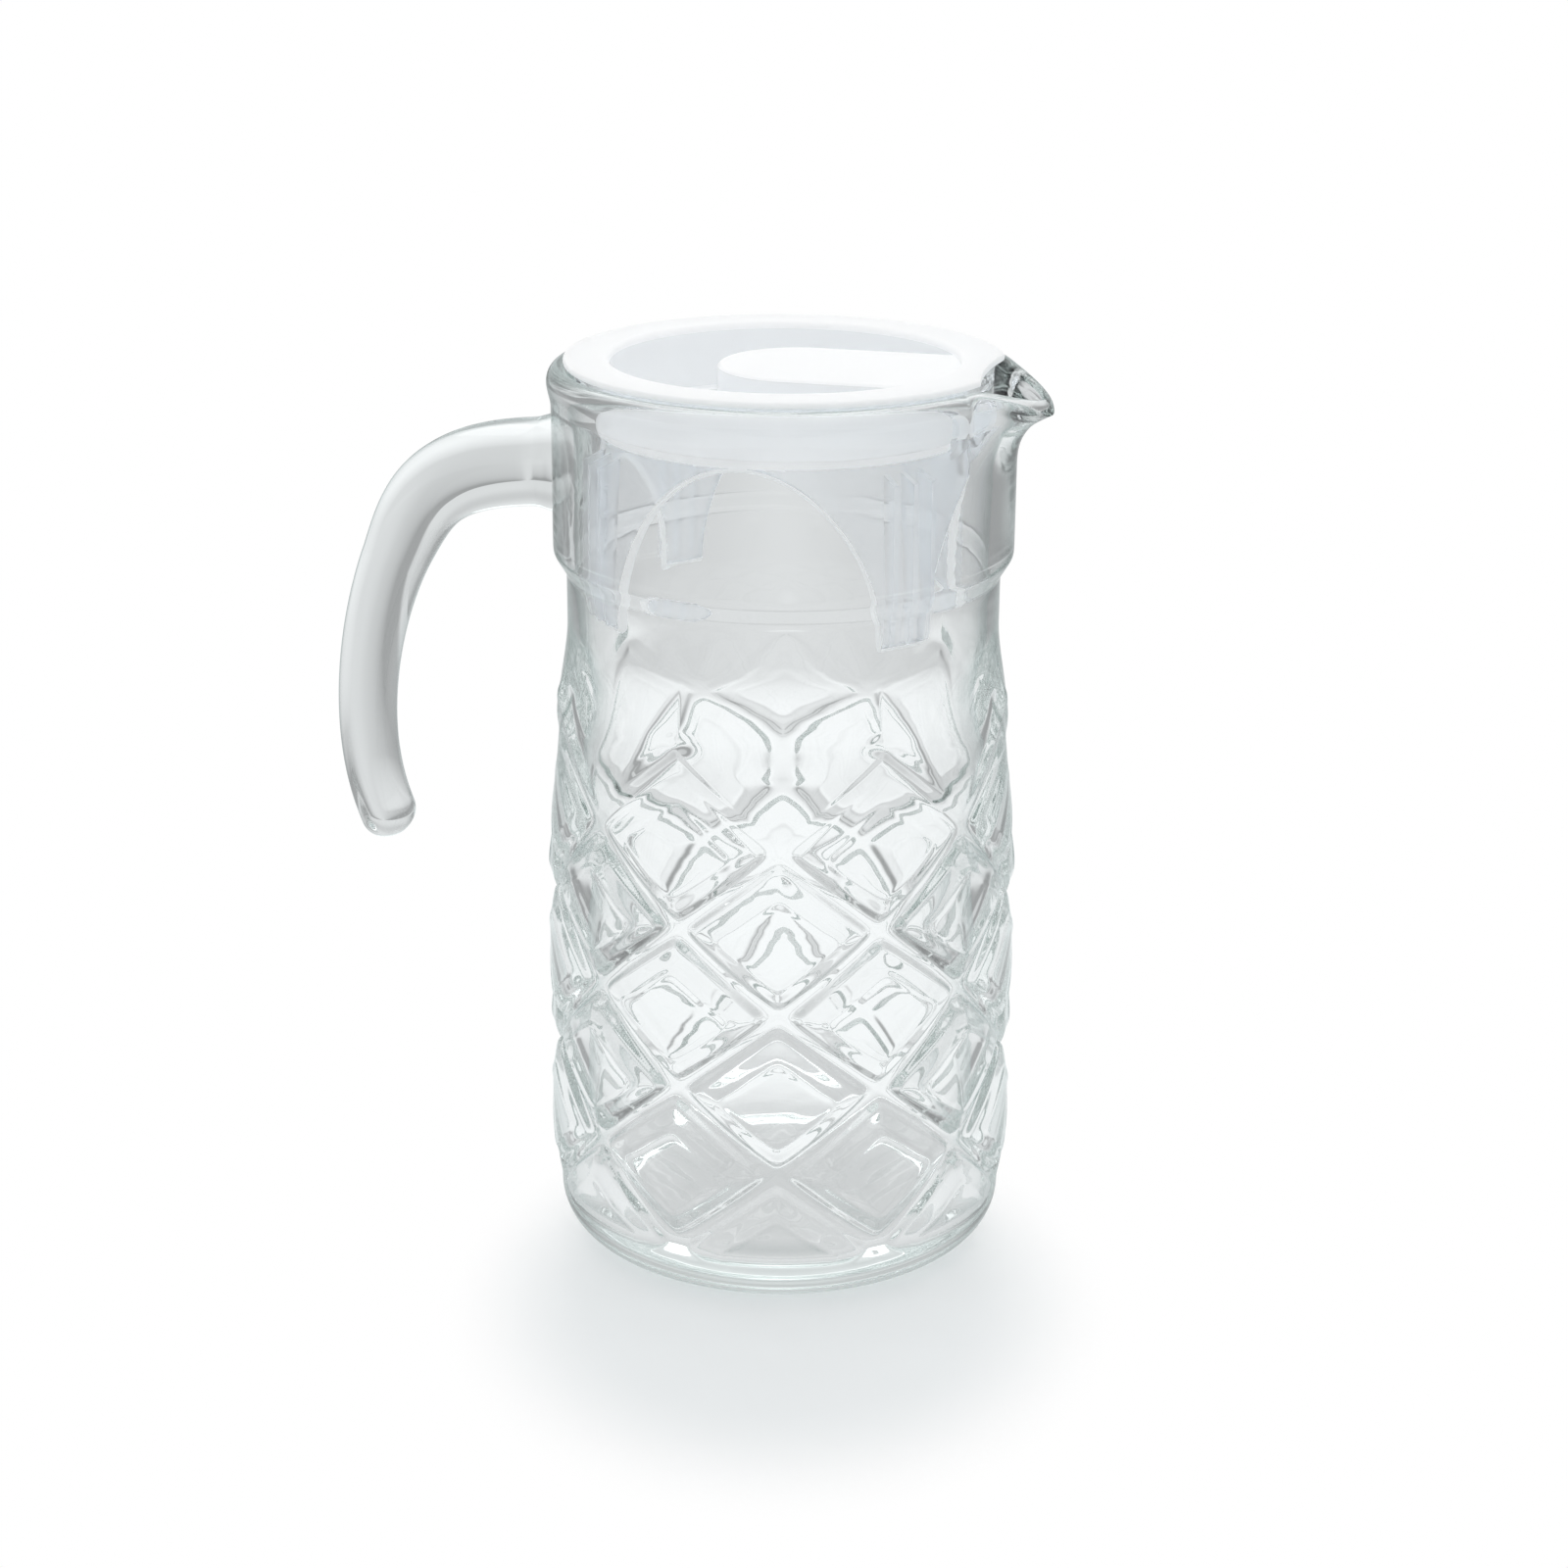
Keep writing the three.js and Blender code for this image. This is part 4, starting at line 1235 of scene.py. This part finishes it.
class JUG_OT_make_studio(bpy.types.Operator):
    """Make the camera, the floor and the light"""

    bl_idname = "jug.make_studio"
    bl_label = "Studio"

    def execute(self, context):
        scene = context.scene
        studio = scene.jug_studio
        scene.view_settings.view_transform = "Standard"
        scene.cycles.use_denoising = True
        scene.cycles.max_bounces = studio.light_bounces
        scene.cycles.transmission_bounces = studio.light_bounces
        scene.cycles.glossy_bounces = studio.light_bounces
        scene.cycles.diffuse_bounces = studio.diffuse_bounces
        scene.cycles.blur_glossy = 0
        azimuth = studio.camera_azimuth
        camera_side = Vector((math.sin(azimuth), -math.cos(azimuth), 0))
        add_camera(scene, studio, camera_side)
        add_floor(studio)
        add_lamp(studio, camera_side)
        scene.world = pale_room(studio)
        return {"FINISHED"}


class JUG_OT_make_body(bpy.types.Operator):
    """Make the pressed glass body"""

    bl_idname = "jug.make_body"
    bl_label = "Glass body"

    def execute(self, context):
        finishes = context.scene.jug_finishes
        glass = glass_material("clear_glass", finishes, finishes.body_uneven)
        mesh = glass_body_mesh(context.scene.jug_glass)
        add_piece(mesh, "glass_body", "jug", "jug_body", [glass], sharp_angle=60)
        return {"FINISHED"}


class JUG_OT_make_handle(bpy.types.Operator):
    """Make the solid glass handle"""

    bl_idname = "jug.make_handle"
    bl_label = "Handle"

    def execute(self, context):
        scene = context.scene
        finishes = scene.jug_finishes
        glass = glass_material("handle_glass", finishes, finishes.handle_uneven)
        mesh = handle_mesh(scene.jug_handle, scene.jug_glass)
        add_piece(mesh, "glass_handle", "jug", "handle", [glass], sharp_angle=50)
        return {"FINISHED"}


class JUG_OT_make_lid(bpy.types.Operator):
    """Make the milky lid"""

    bl_idname = "jug.make_lid"
    bl_label = "Lid"

    def execute(self, context):
        sizes = context.scene.jug_lid
        finishes = context.scene.jug_finishes
        thick = plastic_material("milky_flange", finishes, finishes.flange_clear, finishes.flange_rough)
        pan = plastic_material("milky_pan", finishes, finishes.pan_clear, finishes.pan_rough)
        thin = plastic_material("milky_wall", finishes, finishes.wall_clear, finishes.wall_rough)
        looks = [thick, pan, thin]
        mesh = lid_mesh(sizes)
        piece = add_piece(mesh, "milky_lid", "lid", "lid", looks, sharp_angle=35)
        floor_middle = LID_HIGH.z - sizes.pan_depth - sizes.floor_thickness / 2
        for face in piece.data.polygons:
            see_through = pan if face.center.z > floor_middle else thin
            look = thick if is_white(sizes, face.center) else see_through
            face.material_index = looks.index(look)
        return {"FINISHED"}


class JUG_OT_make_rib(bpy.types.Operator):
    """Make the rib that centres the lid in the mouth"""

    bl_idname = "jug.make_rib"
    bl_label = "Centring rib"

    def execute(self, context):
        finishes = context.scene.jug_finishes
        look = plastic_material("milky_rib", finishes, finishes.rib_clear, finishes.wall_rough)
        mesh = rib_mesh(context.scene.jug_lid)
        node = "lid_centring_rib"
        add_piece(mesh, "milky_rib", "lid_rib", node, [look], sharp_angle=50)
        return {"FINISHED"}


OPERATORS = (
    JUG_OT_make_studio,
    JUG_OT_make_body,
    JUG_OT_make_handle,
    JUG_OT_make_lid,
    JUG_OT_make_rib,
)
SETTINGS = {
    "jug_glass": JugGlassSizes,
    "jug_handle": JugHandleSizes,
    "jug_lid": JugLidSizes,
    "jug_finishes": JugFinishes,
    "jug_studio": JugStudio,
}


class JUG_PT_panel(bpy.types.Panel):
    """Buttons that make the jug, and its sizes"""

    bl_idname = "JUG_PT_panel"
    bl_label = "Glass jug"
    bl_space_type = "VIEW_3D"
    bl_region_type = "UI"
    bl_category = "Jug"

    def draw(self, context):
        for maker in OPERATORS:
            self.layout.operator(maker.bl_idname)
        for name, group in SETTINGS.items():
            box = self.layout.box()
            for field in group.__annotations__:
                box.prop(getattr(context.scene, name), field)


def register():
    """Register the settings, the operators and the panel."""
    for group in SETTINGS.values():
        bpy.utils.register_class(group)
    for maker in OPERATORS:
        bpy.utils.register_class(maker)
    bpy.utils.register_class(JUG_PT_panel)
    for name, group in SETTINGS.items():
        setattr(bpy.types.Scene, name, bpy.props.PointerProperty(type=group))


def unregister():
    """Take everything away that register added."""
    for name in SETTINGS:
        delattr(bpy.types.Scene, name)
    bpy.utils.unregister_class(JUG_PT_panel)
    for maker in reversed(OPERATORS):
        bpy.utils.unregister_class(maker)
    for group in reversed(SETTINGS.values()):
        bpy.utils.unregister_class(group)


def main():
    """Make the studio and every piece."""
    register()
    bpy.ops.jug.make_studio()
    bpy.ops.jug.make_body()
    bpy.ops.jug.make_handle()
    bpy.ops.jug.make_lid()
    bpy.ops.jug.make_rib()


if __name__ == "__main__":
    main()
